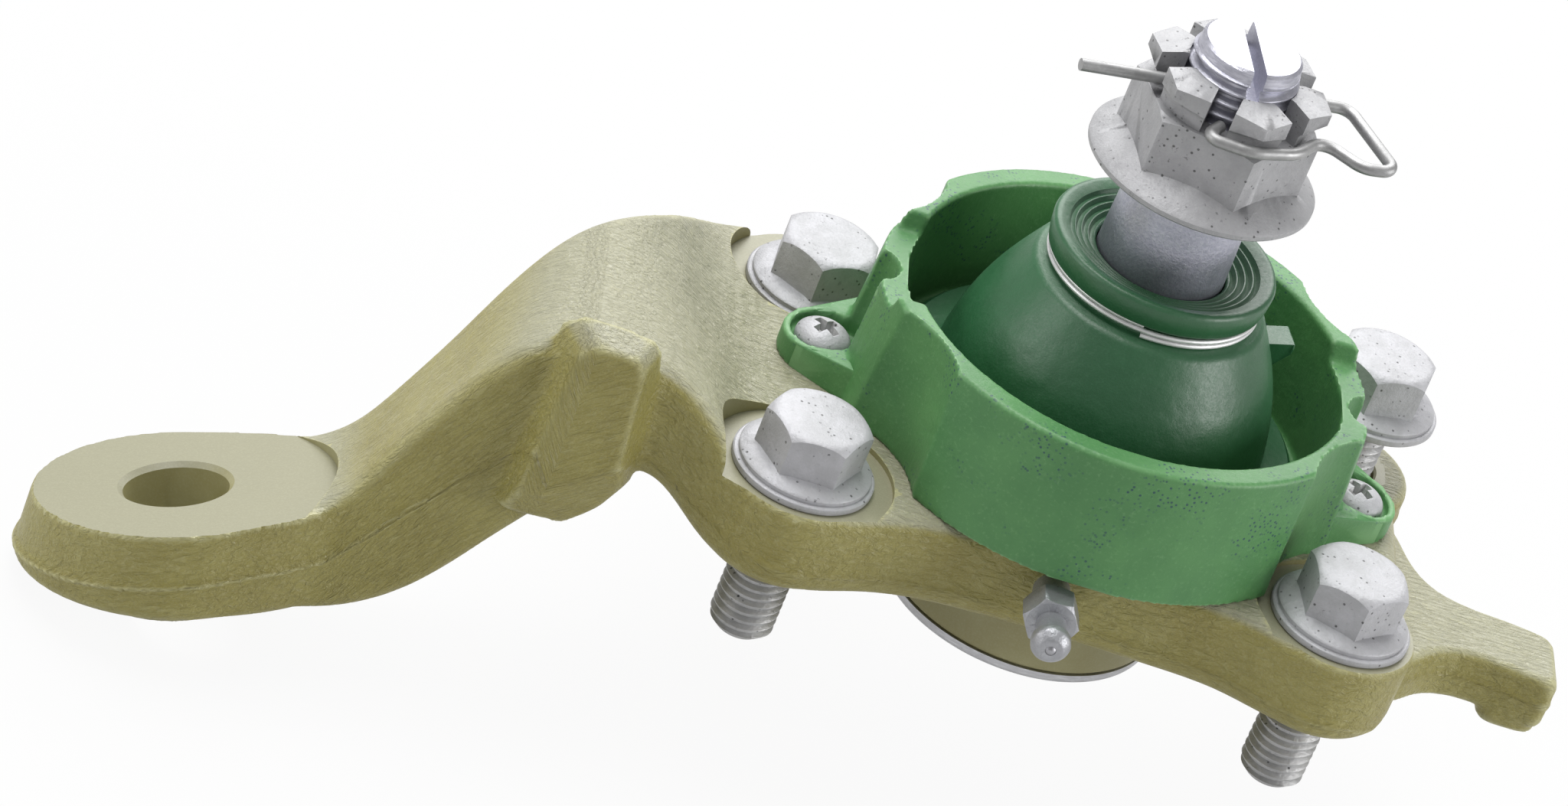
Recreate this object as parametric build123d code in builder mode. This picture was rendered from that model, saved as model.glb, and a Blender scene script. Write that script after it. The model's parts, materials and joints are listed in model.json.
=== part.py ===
from build123d import *
import os
from math import asin, atan2, cos, degrees, radians, sin, sqrt

# Lower suspension ball joint with a forged steering arm, in millimetres.
# The origin is on the axis of the ball stud, in the face that bolts to the knuckle. +Z runs along the
# stud towards its nut, +X from the steering arm to the stop tab, and -Y is the side with the grease fitting.

# Plate of the forging
PLATE_TOP = 18.0
PLATE_FRONT = -40.5
PLATE_REAR = 41.0
PLATE_LEFT = -56.0
PLATE_RIGHT = 50.0
SEAT_Z = 17.0
PLATE_EDGE_R = 2.0
PLATE_BOTTOM_R = 4.0
OUTLINE_R = 6.0

# Mounting bolts: flange bolts M12 x 35
SHANK_R = 6.0
SHANK_LENGTH = 35.0
BOLT_HOLE_R = 6.6
FLANGE_R = 13.0
FLANGE_RIM = 1.8
FLANGE_RISE = 3.6
HEAD_ACROSS_FLATS = 17.0
HEAD_HEIGHT = 11.6
HEAD_CHAMFER = 1.2
SHANK_CHAMFER = 1.2
FLANGE_TAPER = 50.0
LOW_LUG_TOP = 7.0
LOW_LUG_BOTTOM = -5.0
LOW_BOLT_LIFT = 13.6
SPIGOT_RELIEF = 7.0
# name, x, y, seat height, lift above the seat, boss radius, spot face radius, angle of a hexagon corner
BOLTS = [
    ("front_left", -51.6, -35.6, SEAT_Z, 0.0, 14.8, 16.8, 0.0),
    ("front_right", 48.5, -32.5, SEAT_Z, 0.0, 14.6, 16.0, 38.0),
    ("rear_left", -51.0, 27.5, SEAT_Z - 3.0, 0.0, 16.8, 17.2, 23.0),
    ("rear_right", 55.0, 35.4, LOW_LUG_TOP, LOW_BOLT_LIFT, 14.0, 16.0, 15.0),
]

# Ball socket
BALL_R = 17.0
BALL_Z = 8.0
SHELL_T = 2.5
SHELL_MOUTH_ANGLE = 60.0
SOCKET_R = BALL_R + SHELL_T
DRUM_R = 26.5
DRUM_BOTTOM = -16.0
COLLAR_R = 26.0
COLLAR_TOP = 26.5
MOUTH_TOP_R = 19.4
COVER_R = 26.4
COVER_T = 2.0
COVER_DISH_R = 12.0
COVER_GAP = 0.6
LOWER_SHELL_BOTTOM = -9.5
LOWER_SHELL_HOLE_R = 6.0
BALL_FLAT_Z = -7.0
THRUST_T = 1.5
THRUST_CLEAR = 0.1
SPRING_T = 0.6
SPRING_HEIGHT = 1.1
SPRING_R = 18.5
SPRING_BORE_R = 9.0
SNAP_RING_T = 1.0
SNAP_RING_DEPTH = 1.3
SNAP_RING_BORE_R = 17.5
SNAP_RING_GAP = 9.0
RUN_CLEAR = 0.05
SEAT_CLEAR = 0.02

# Ball stud, castle nut and locking clip
NECK_R = 9.0
NECK_TOP_Z = 40.0
STUD_CHAMFER = 1.5
TAPER_BOTTOM_Z = 50.0
TAPER_R = 12.2
TAPER_TOP_Z = 76.5
TAPER_TOP_R = 11.3
THREAD_R = 10.0
STUD_TOP = 104.3
END_SLOT_W = 2.4
END_SLOT_DEPTH = 5.0
END_SLOT_ANGLE = -83.0
NUT_Z = 77.7
NUT_FLANGE_R = 21.0
NUT_RIM = 1.7
NUT_CONE = 3.0
NUT_ACROSS_FLATS = 30.0
NUT_HEX_TOP = 92.3
CROWN_ACROSS_FLATS = 26.6
CROWN_NECK_R = 14.3
CROWN_NECK_TOP = 96.2
CROWN_SLOPE_R = 11.8
CROWN_SLOPE = 1.6
NUT_TOP = 99.5
CROWN_SLOT_W = 4.6
NUT_ANGLE = 15.0
WIRE_R = 1.1
CLIP_Z = 95.0
CLIP_HOLE_R = 1.5
CLIP_TAIL_R = 29.5
CLIP_BEND_R = 22.0
CLIP_WRAP_R = 16.7
CLIP_WRAP_Z = 93.6
CLIP_WRAP_STEP = 30.0
CLIP_WRAP_END = -108.5
CLIP_TIP_R = 11.6
CLIP_TIP_ANGLE = -102.0
CLIP_PLANE = Plane(origin=(0, 0, CLIP_Z), z_dir=(cos(radians(NUT_ANGLE)), sin(radians(NUT_ANGLE)), 0))

# Dust boot and its rings
BOOT_BASE_R = 37.5
BOOT_BASE_Z = 21.0
BOOT_BASE_TOP = 25.0
BOOT_R = 31.0
BOOT_SHOULDER_Z = 28.0
LIP_R = 20.9
LIP_TOP = 61.0
GROOVE_R = 18.9
GROOVE_BOTTOM_Z = 53.2
GROOVE_TOP_Z = 55.2
LIP_RIM = 2.4
LIP_STEPS = 4
LIP_STEP = 0.55
LIP_STEP_W = 1.35
SOFT_CLEAR = 0.3
BOOT_BORE_R = TAPER_R + SOFT_CLEAR
BOOT_BORE_BOTTOM = 49.5
BOOT_RIB_ANGLE = 15.0
BOOT_RIB_W = 2.0
SEAT_RING_T = 1.5
SEAT_RING_H = 5.0
CLAMP_WIRE_R = 0.45
CLAMP_PITCH = 0.86
CLAMP_CLEAR = 0.3

# Shield ring
RING_TOP = 44.0
BOOT_ROOM = 3.5
RING_WALL = 5.0
RING_FLARE = 1.5
RING_INNER_R = BOOT_BASE_R + BOOT_ROOM
RING_R_TOP = RING_INNER_R + RING_WALL
RING_R_BOTTOM = RING_R_TOP + RING_FLARE
RING_BLOCK_TOP = 40.5
RING_BLOCK_HALF_ANGLE = 16.5
SCALLOP_R = 20.0
SCALLOP_PITCH_R = 63.0
SCALLOP_ANGLES = [-145.4, -31.0, 151.7, 32.8]
EAR_OUT = 3.3
EAR_X = RING_R_BOTTOM + EAR_OUT
EAR_R = 7.6
EAR_FLOOR = 3.0
EAR_RIM = 6.5
EAR_RIM_LOW = 4.5
EAR_WALL = 1.4
GROOVE_CUT_R = 5.2
GROOVE_CUT_IN = 3.2
GROOVE_CUT_X = EAR_X - GROOVE_CUT_IN
RING_SEAT_CLEAR = 0.8
RING_SEAT_Z = PLATE_TOP
RING_H = RING_TOP - RING_SEAT_Z
SHIELD_FLOOR_T = 2.4
BOOT_FLOOR_R = 26.3

# Shield screws: pan head M5
SCREW_R = 2.5
SCREW_HEAD_R = 5.2
SCREW_HEAD_H = 3.8
SCREW_LENGTH = 12.0
SCREW_CLEAR = 0.3
RECESS_W = 1.6
RECESS_DEPTH = 2.0

# Grease fitting
FITTING_X = -3.2
FITTING_Z = 11.0
FITTING_THREAD_R = 3.3
FITTING_DEPTH = 7.0
OIL_HOLE_R = 1.6
FITTING_STUB = 4.6
FITTING_HEX_AF = 9.0
FITTING_HEX_T = 5.4
FITTING_NOSE_R = 3.55
FITTING_NECK_R = 2.7
FITTING_TIP_R = 2.2
FITTING_TOTAL = 25.0
DUCT_R = 0.9
TIP_HOLE_R = 0.95
CHECK_BALL_R = 1.2
CHECK_TRAVEL = 0.8
CHECK_CLEAR = 0.06
CHECK_SPRING_LENGTH = 4.0
CHECK_SPRING_PITCH = 1.0
CHECK_WIRE_R = 0.2
FITTING_PLANE = Plane(origin=(FITTING_X, PLATE_FRONT, FITTING_Z), z_dir=(0, -1, 0))

# Steering arm and eye
EYE = Vector(-153.8, -38.0, -22.0)
EYE_AXIS = Vector(-0.34, 0.19, 0.92)
EYE_R = 23.7
EYE_NOSE = 26.0
EYE_T = 16.5
EYE_PAD_LENGTH = 28.0
EYE_FACE_R = 28.5
EYE_HOLE_TOP_R = 9.35
EYE_HOLE_BOTTOM_R = 8.2
EYE_CHAMFER = 0.9
EYE_FOOT_R = 15.5
EYE_FOOT_T = 3.5
EYE_EDGE_R = 5.0
ARM_EDGE_R = 5.0
LUG_FRONT_Y = 45.0

# Stop tab
TAB_TOP = 6.5
TAB_BOTTOM = -4.5
TAB_END_BOTTOM = -7.0
TAB_TIP_X = 96.5

os.makedirs("parts", exist_ok=True)


def bolt_place(bolt):
    """The point under the flange of a bolt as it stands."""
    return (bolt[1], bolt[2], bolt[3] + bolt[4])


# Side profile of the arm bar, pulled across it, and its plan outline
with BuildPart() as arm_bar:
    with BuildSketch(Plane.XZ.offset(-60)):
        with BuildLine():
            crest = Spline((-134, -17.5), (-126, -10.5), (-119, 2.5), (-110, 22.0), (-101, 32.5), (-89, 34.8),
                           (-79, 33.0), (-70, 27.5), (-62, 21.5), (-54, PLATE_TOP))
            root = Line(crest @ 1, (-54, 0.5))
            belly = Spline(root @ 1, (-66, 1.5), (-75, 8.0), (-84, 6.5), (-94, -4.0), (-105, -20.0),
                           (-116, -31.5), (-126, -33.5), (-134, -32.0))
            Line(belly @ 1, crest @ 0)
        make_face()
    extrude(amount=120)
    with BuildSketch(Plane.XY.offset(-50)):
        with BuildLine():
            front = Spline((-134, -59.5), (-126, -53.5), (-116, -47.5), (-104, -44.5), (-90, -43.0),
                           (-78, -40.5), (-66, -40.5), (-54, -42.0))
            side = Line(front @ 1, (-54, 34.0))
            rear = Spline(side @ 1, (-64, 28.0), (-74, 19.5), (-84, 10.0), (-98, -3.0), (-110, -13.0),
                          (-120, -17.0), (-128, -16.5), (-134, -15.5))
            Line(rear @ 1, front @ 0)
        make_face()
    extrude(amount=100, mode=Mode.INTERSECT)
    fillet([edge for edge in arm_bar.edges() if edge.length > 100], ARM_EDGE_R)

# Eye for the tie rod: a pad that runs into the bar, and a round foot below it
EYE_N = EYE_AXIS.normalized()
EYE_RIGHT = (Vector(1, 0, 0) - EYE_N * EYE_N.X).normalized()
EYE_TOP = Plane(origin=EYE, x_dir=EYE_RIGHT, z_dir=EYE_N)
with BuildPart() as eye_pad:
    with BuildSketch(EYE_TOP):
        with BuildLine():
            pad_rear = Line((EYE_PAD_LENGTH, EYE_R - 3), (0, EYE_R))
            pad_nose = EllipticalCenterArc((0, 0), EYE_NOSE, EYE_R, 90, arc_size=180)
            pad_front = Line((0, -EYE_R), (EYE_PAD_LENGTH, 3 - EYE_R))
            Line(pad_front @ 1, pad_rear @ 0)
        make_face()
    extrude(amount=-EYE_T)
    fillet(eye_pad.faces().sort_by(Axis(EYE, EYE_N))[0].edges(), EYE_EDGE_R)
    with BuildSketch(EYE_TOP.offset(-EYE_T)):
        Circle(EYE_FOOT_R)
    extrude(amount=-EYE_FOOT_T)

# Plate with three bosses
with BuildPart() as plate:
    with BuildSketch() as plate_outline:
        with BuildLine():
            Polyline((-58, PLATE_FRONT), (50, PLATE_FRONT), (61, -26), (61, 13), (48, 24), (20, 41), (-51, 41),
                     (-62, 20), (-62, -20), (-58, -36), close=True)
        make_face()
        for bolt in BOLTS[:3]:
            with Locations((bolt[1], bolt[2])):
                Circle(bolt[5])
        corners = [v for v in plate_outline.vertices() if abs(v.X) < 50 or v.X > 60]
        fillet([v for v in corners if v.X < -35 or v.X > 15], OUTLINE_R)
    extrude(amount=PLATE_TOP)
    fillet(plate.faces().sort_by(Axis.Z)[0].edges(), PLATE_BOTTOM_R)
    fillet(plate.faces().sort_by(Axis.Z)[-1].edges(), PLATE_EDGE_R)

# Low lug of the fourth bolt
with BuildPart() as low_lug:
    with BuildSketch(Plane.XY.offset(LOW_LUG_BOTTOM)):
        with BuildLine():
            Polyline((20, 8), (20, 30), (44, 47), (62, 24), (61, 0), close=True)
        make_face()
        with Locations((BOLTS[3][1], BOLTS[3][2])):
            Circle(BOLTS[3][5])
    extrude(amount=LOW_LUG_TOP - LOW_LUG_BOTTOM)
    fillet(low_lug.faces().sort_by(Axis.Z)[0].edges(), 3)

# Stop tab on the right
with BuildPart() as stop_tab:
    with BuildSketch(Plane.XY.offset(TAB_TOP)):
        with BuildLine():
            tab_rear = Spline((44, 40), (66, 18), (68, 12), (72.7, 4.6), (79.5, 1.9), (88.4, 0.9), (94.3, -0.3))
            tab_end = Polyline(tab_rear @ 1, (TAB_TIP_X, -2.4), (TAB_TIP_X, -15.0), (94.5, -15.6))
            tab_front = Spline(tab_end @ 1, (86, -14.0), (78.7, -13.6), (72.7, -15.8), (67, -21), (57, -24))
            Line(tab_front @ 1, tab_rear @ 0)
        make_face()
    extrude(amount=TAB_BOTTOM - TAB_TOP)
    with BuildSketch(Plane.XY.offset(TAB_BOTTOM)):
        with Locations((TAB_TIP_X - 6, -7.5)):
            RectangleRounded(12, 14, 3)
    extrude(amount=TAB_END_BOTTOM - TAB_BOTTOM)

# Stop lug on the front of the arm
with BuildPart() as stop_lug:
    with BuildSketch(Plane.XZ.offset(LUG_FRONT_Y)):
        with BuildLine():
            Polyline((-97, -6), (-84, 2), (-84, 31), (-87, 34.5), (-94, 34.5), (-97, 31), close=True)
        make_face()
    extrude(amount=-12)

# Socket bore as one turned profile: cover seat, spring chamber, snap ring groove, ball seat and mouth
MOUTH_R = SOCKET_R * sin(radians(SHELL_MOUTH_ANGLE))
MOUTH_Z = BALL_Z + SOCKET_R * cos(radians(SHELL_MOUTH_ANGLE))
SNAP_RING_TOP = LOWER_SHELL_BOTTOM - SPRING_HEIGHT - THRUST_T
SNAP_RING_BOTTOM = SNAP_RING_TOP - SNAP_RING_T
GROOVE_BORE_R = SOCKET_R + SNAP_RING_DEPTH
with BuildPart() as socket_bore:
    with BuildSketch(Plane.XZ):
        with BuildLine():
            bore_wall = Polyline((0, DRUM_BOTTOM - 1), (SOCKET_R, DRUM_BOTTOM - 1), (SOCKET_R, SNAP_RING_BOTTOM),
                                 (GROOVE_BORE_R, SNAP_RING_BOTTOM), (GROOVE_BORE_R, SNAP_RING_TOP),
                                 (SOCKET_R, SNAP_RING_TOP), (SOCKET_R, BALL_Z))
            seat = CenterArc((0, BALL_Z), SOCKET_R, 0, 90 - SHELL_MOUTH_ANGLE)
            Polyline(seat @ 1, (MOUTH_TOP_R, COLLAR_TOP), (MOUTH_TOP_R, COLLAR_TOP + 1), (0, COLLAR_TOP + 1),
                     bore_wall @ 0)
        make_face()
    revolve(axis=Axis.Z)

# The forging: all forms joined, then machined
with BuildPart() as arm_forging:
    add(plate.part)
    add(low_lug.part)
    add(arm_bar.part)
    add(eye_pad.part)
    add(stop_tab.part)
    add(stop_lug.part)
    with BuildSketch(Plane.XY.offset(DRUM_BOTTOM)):
        Circle(DRUM_R)
    extrude(amount=PLATE_TOP / 2 - DRUM_BOTTOM)
    with BuildSketch(Plane.XY.offset(PLATE_TOP / 2)):
        Circle(COLLAR_R)
    extrude(amount=COLLAR_TOP - PLATE_TOP / 2)
    add(socket_bore.part, mode=Mode.SUBTRACT)
    # Spot faces and bolt holes
    for name, x, y, seat_z, lift, boss_r, spot_r, turn in BOLTS:
        with BuildSketch(Plane.XY.offset(seat_z)):
            with Locations((x, y)):
                Circle(spot_r)
        extrude(amount=30, mode=Mode.SUBTRACT)
        with BuildSketch(Plane.XY.offset(LOW_LUG_BOTTOM - 10)):
            with Locations((x, y)):
                Circle(BOLT_HOLE_R)
        extrude(amount=60, mode=Mode.SUBTRACT)
    # Room for the knuckle's rim round the drum, below its face
    with BuildSketch(Plane.XY.offset(LOW_LUG_BOTTOM - 1)):
        Circle(DRUM_R + SPIGOT_RELIEF)
        Circle(DRUM_R, mode=Mode.SUBTRACT)
    extrude(amount=1 - LOW_LUG_BOTTOM, mode=Mode.SUBTRACT)
    # Faced seat of the shield ring and its ears
    with BuildSketch(Plane.XY.offset(PLATE_TOP)):
        Circle(RING_R_BOTTOM + RING_SEAT_CLEAR)
        Circle(COLLAR_R, mode=Mode.SUBTRACT)
        with Locations((-EAR_X, 0), (EAR_X, 0)):
            Circle(EAR_R + RING_SEAT_CLEAR)
    extrude(amount=RING_H, mode=Mode.SUBTRACT)
    # Faced top and tapered hole of the eye
    with BuildSketch(EYE_TOP):
        Circle(EYE_FACE_R)
    extrude(amount=30, mode=Mode.SUBTRACT)
    with BuildSketch(EYE_TOP):
        Circle(EYE_HOLE_TOP_R)
    with BuildSketch(EYE_TOP.offset(-EYE_T - EYE_FOOT_T)):
        Circle(EYE_HOLE_BOTTOM_R)
    loft(mode=Mode.SUBTRACT)
    # Tapped holes of the shield screws, and the grease fitting's hole with its gallery to the ball
    for x in (-EAR_X, EAR_X):
        with BuildSketch(Plane.XY.offset(PLATE_TOP - SCREW_LENGTH)):
            with Locations((x, 0)):
                Circle(SCREW_R + SEAT_CLEAR)
        extrude(amount=SCREW_LENGTH + 1, mode=Mode.SUBTRACT)
    with BuildSketch(FITTING_PLANE):
        Circle(FITTING_THREAD_R + SEAT_CLEAR)
    extrude(amount=-FITTING_DEPTH, mode=Mode.SUBTRACT)
    with BuildSketch(FITTING_PLANE):
        Circle(OIL_HOLE_R)
    extrude(amount=PLATE_FRONT + SOCKET_R / 2, mode=Mode.SUBTRACT)

arm_forging.part.label = "steering_arm"
export_step(arm_forging.part, "parts/steering_arm.step")

# Bearing shells round the ball
with BuildPart() as upper_shell:
    with BuildSketch(Plane.XZ):
        with BuildLine():
            inner = CenterArc((0, BALL_Z), BALL_R, 0, 90 - SHELL_MOUTH_ANGLE)
            outer = CenterArc((0, BALL_Z), SOCKET_R - SEAT_CLEAR, 0, 90 - SHELL_MOUTH_ANGLE)
            Line(inner @ 0, outer @ 0)
            Line(inner @ 1, outer @ 1)
        make_face()
    revolve(axis=Axis.Z)
    with BuildSketch(FITTING_PLANE):
        Circle(OIL_HOLE_R)
    extrude(amount=PLATE_FRONT, mode=Mode.SUBTRACT)

upper_shell.part.label = "upper_bearing_shell"
export_step(upper_shell.part, "parts/upper_bearing_shell.step")

LOWER_SHELL_LIP_Z = BALL_Z - sqrt(BALL_R ** 2 - LOWER_SHELL_HOLE_R ** 2)
LOWER_SHELL_LIP_ANGLE = degrees(atan2(LOWER_SHELL_LIP_Z - BALL_Z, LOWER_SHELL_HOLE_R))
SHELL_PARTING = 0.3
SHELL_START = -degrees(asin(SHELL_PARTING / BALL_R))
with BuildPart() as lower_shell:
    with BuildSketch(Plane.XZ):
        with BuildLine():
            cup = CenterArc((0, BALL_Z), BALL_R, SHELL_START, LOWER_SHELL_LIP_ANGLE - SHELL_START)
            Polyline(cup @ 1, (LOWER_SHELL_HOLE_R, LOWER_SHELL_BOTTOM + RUN_CLEAR),
                     (SOCKET_R - RUN_CLEAR, LOWER_SHELL_BOTTOM + RUN_CLEAR),
                     (SOCKET_R - RUN_CLEAR, BALL_Z - SHELL_PARTING), cup @ 0)
        make_face()
    revolve(axis=Axis.Z)

lower_shell.part.label = "lower_bearing_shell"
export_step(lower_shell.part, "parts/lower_bearing_shell.step")

# Spring washer, thrust plate, snap ring and end cover below the ball
with BuildPart() as preload_spring:
    with BuildSketch(Plane.XZ):
        with BuildLine():
            Polyline((SPRING_BORE_R, LOWER_SHELL_BOTTOM), (SPRING_R, LOWER_SHELL_BOTTOM - SPRING_HEIGHT + SPRING_T),
                     (SPRING_R, LOWER_SHELL_BOTTOM - SPRING_HEIGHT), (SPRING_BORE_R, LOWER_SHELL_BOTTOM - SPRING_T),
                     close=True)
        make_face()
    revolve(axis=Axis.Z)

preload_spring.part.label = "preload_spring"
export_step(preload_spring.part, "parts/preload_spring.step")

with BuildPart() as thrust_plate:
    with BuildSketch(Plane.XY.offset(SNAP_RING_TOP)):
        Circle(SOCKET_R - THRUST_CLEAR)
    extrude(amount=THRUST_T)
    chamfer(thrust_plate.faces().sort_by(Axis.Z)[-1].edges(), 0.3)

thrust_plate.part.label = "thrust_plate"
export_step(thrust_plate.part, "parts/thrust_plate.step")

with BuildPart() as snap_ring:
    with BuildSketch(Plane.XY.offset(SNAP_RING_BOTTOM)):
        Circle(GROOVE_BORE_R - SEAT_CLEAR)
        Circle(SNAP_RING_BORE_R, mode=Mode.SUBTRACT)
        with Locations((0, GROOVE_BORE_R)):
            Rectangle(SNAP_RING_GAP, GROOVE_BORE_R, mode=Mode.SUBTRACT)
    extrude(amount=SNAP_RING_T)

snap_ring.part.label = "snap_ring"
export_step(snap_ring.part, "parts/snap_ring.step")

with BuildPart() as end_cover:
    with BuildSketch(Plane.XY.offset(DRUM_BOTTOM - COVER_T)):
        Circle(COVER_R)
    extrude(amount=COVER_T)
    fillet(end_cover.faces().sort_by(Axis.Z)[0].edges(), COVER_T / 2)
    with BuildSketch(Plane.XY.offset(DRUM_BOTTOM)):
        Circle(SOCKET_R - SEAT_CLEAR)
    extrude(amount=SNAP_RING_BOTTOM - DRUM_BOTTOM - COVER_GAP)
    with BuildSketch(Plane.XY.offset(DRUM_BOTTOM - COVER_T)):
        Circle(COVER_DISH_R)
    extrude(amount=COVER_T / 2, mode=Mode.SUBTRACT)

end_cover.part.label = "end_cover"
export_step(end_cover.part, "parts/end_cover.step")

# Ball stud: ball with a flat, neck, tapered seat, thread with slotted end and clip hole
STUD_BALL_R = BALL_R - RUN_CLEAR
NECK_START_Z = BALL_Z + sqrt(STUD_BALL_R ** 2 - NECK_R ** 2)
FLAT_R = sqrt(STUD_BALL_R ** 2 - (BALL_Z - BALL_FLAT_Z) ** 2)
FLAT_ANGLE = degrees(atan2(BALL_FLAT_Z - BALL_Z, FLAT_R))
NECK_ANGLE = degrees(atan2(NECK_START_Z - BALL_Z, NECK_R))
with BuildPart() as ball_stud:
    with BuildSketch(Plane.XZ):
        with BuildLine():
            ball_arc = CenterArc((0, BALL_Z), STUD_BALL_R, FLAT_ANGLE, NECK_ANGLE - FLAT_ANGLE)
            Polyline(ball_arc @ 1, (NECK_R, NECK_TOP_Z), (TAPER_R, TAPER_BOTTOM_Z), (TAPER_TOP_R, TAPER_TOP_Z),
                     (THREAD_R, TAPER_TOP_Z + 0.8), (THREAD_R, STUD_TOP - STUD_CHAMFER),
                     (THREAD_R - STUD_CHAMFER, STUD_TOP), (0, STUD_TOP), (0, BALL_FLAT_Z), ball_arc @ 0)
        make_face()
    revolve(axis=Axis.Z)
    with BuildSketch(Plane.XY.offset(STUD_TOP - END_SLOT_DEPTH)):
        with Locations(Location((0, 0), END_SLOT_ANGLE)):
            Rectangle(3 * THREAD_R, END_SLOT_W)
    extrude(amount=END_SLOT_DEPTH + 1, mode=Mode.SUBTRACT)
    with BuildSketch(CLIP_PLANE):
        Circle(CLIP_HOLE_R)
    extrude(amount=2 * THREAD_R, both=True, mode=Mode.SUBTRACT)

ball_stud.part.label = "ball_stud"
export_step(ball_stud.part, "parts/ball_stud.step")

# Castle nut: coned flange, hexagon and six merlons
with BuildPart() as castle_nut:
    with BuildSketch(Plane.XZ):
        with BuildLine():
            Polyline((0, NUT_Z), (NUT_FLANGE_R, NUT_Z), (NUT_FLANGE_R, NUT_Z + NUT_RIM),
                     (NUT_ACROSS_FLATS / 2, NUT_Z + NUT_RIM + NUT_CONE), (0, NUT_Z + NUT_RIM + NUT_CONE), close=True)
        make_face()
    revolve(axis=Axis.Z)
    with BuildSketch(Plane.XY.offset(NUT_Z + NUT_RIM)):
        RegularPolygon(NUT_ACROSS_FLATS / 2, 6, major_radius=False, rotation=NUT_ANGLE - 30)
    extrude(amount=NUT_HEX_TOP - NUT_Z - NUT_RIM)
    # Crown: a smaller hexagon with an outward sloping top, and a turned groove for the wire at its foot
    with BuildSketch(Plane.XY.offset(NUT_HEX_TOP)):
        RegularPolygon(CROWN_ACROSS_FLATS / 2, 6, major_radius=False, rotation=NUT_ANGLE - 30)
    extrude(amount=NUT_TOP - NUT_HEX_TOP)
    crown_out = CROWN_ACROSS_FLATS / 2 / cos(radians(30))
    with BuildSketch(Plane.XZ):
        with BuildLine():
            Polyline((CROWN_SLOPE_R, NUT_TOP), (crown_out, NUT_TOP - CROWN_SLOPE), (crown_out + 1, NUT_TOP - CROWN_SLOPE),
                     (crown_out + 1, NUT_TOP), close=True)
        make_face()
        with BuildLine():
            flare = Line((CROWN_NECK_R, NUT_HEX_TOP), (CROWN_NECK_R, NUT_HEX_TOP + 1.5))
            cove = SagittaArc(flare @ 1, (crown_out, CROWN_NECK_TOP), 0.4)
            Polyline(cove @ 1, (crown_out + 1, CROWN_NECK_TOP), (crown_out + 1, NUT_HEX_TOP), flare @ 0)
        make_face()
    revolve(axis=Axis.Z, mode=Mode.SUBTRACT)
    with BuildSketch(Plane.XY.offset(NUT_HEX_TOP)):
        with PolarLocations(crown_out / 2, 6, start_angle=NUT_ANGLE):
            Rectangle(crown_out + 2, CROWN_SLOT_W)
    extrude(amount=NUT_TOP - NUT_HEX_TOP, mode=Mode.SUBTRACT)
    with BuildSketch(Plane.XY.offset(NUT_Z)):
        Circle(THREAD_R + SEAT_CLEAR)
    extrude(amount=NUT_TOP - NUT_Z, mode=Mode.SUBTRACT)

castle_nut.part.label = "castle_nut"
export_step(castle_nut.part, "parts/castle_nut.step")

# Locking clip: straight through the stud, bent back, round the crown and into a slot
CLIP_TURN = radians(NUT_ANGLE)
clip_wrap_r = CLIP_WRAP_R / cos(radians(CLIP_WRAP_STEP / 2))
wrap_angles = [CLIP_WRAP_END + CLIP_WRAP_STEP * step for step in (3, 2, 1, 0)]
clip_wrap = [(clip_wrap_r * cos(radians(a)), clip_wrap_r * sin(radians(a)), CLIP_WRAP_Z) for a in wrap_angles]
clip_points = [
    (-CLIP_TAIL_R * cos(CLIP_TURN), -CLIP_TAIL_R * sin(CLIP_TURN), CLIP_Z),
    (CLIP_BEND_R * cos(CLIP_TURN), CLIP_BEND_R * sin(CLIP_TURN), CLIP_Z),
    (30.0, -9.5, 94.2),
    (24.0, -10.6, CLIP_WRAP_Z),
    *clip_wrap,
    (CLIP_TIP_R * cos(radians(CLIP_TIP_ANGLE)), CLIP_TIP_R * sin(radians(CLIP_TIP_ANGLE)), CLIP_WRAP_Z),
]
clip_radii = [3.0, 1.9, 5.0, 3.5, 8.0, 8.0, 1.8]
with BuildPart() as locking_clip:
    with BuildLine() as clip_path:
        FilletPolyline(clip_points, radius=clip_radii)
    with BuildSketch(Plane(origin=clip_path.line @ 0, z_dir=clip_path.line % 0)):
        Circle(WIRE_R)
    sweep(transition=Transition.ROUND)

locking_clip.part.label = "locking_clip"
export_step(locking_clip.part, "parts/locking_clip.step")

# Seat ring pressed on the collar, inside the base of the boot
with BuildPart() as boot_seat_ring:
    with BuildSketch(Plane.XY.offset(BOOT_BASE_Z)):
        Circle(COLLAR_R + SEAT_RING_T)
        Circle(COLLAR_R, mode=Mode.SUBTRACT)
    extrude(amount=SEAT_RING_H)

boot_seat_ring.part.label = "boot_seat_ring"
export_step(boot_seat_ring.part, "parts/boot_seat_ring.step")

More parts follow.
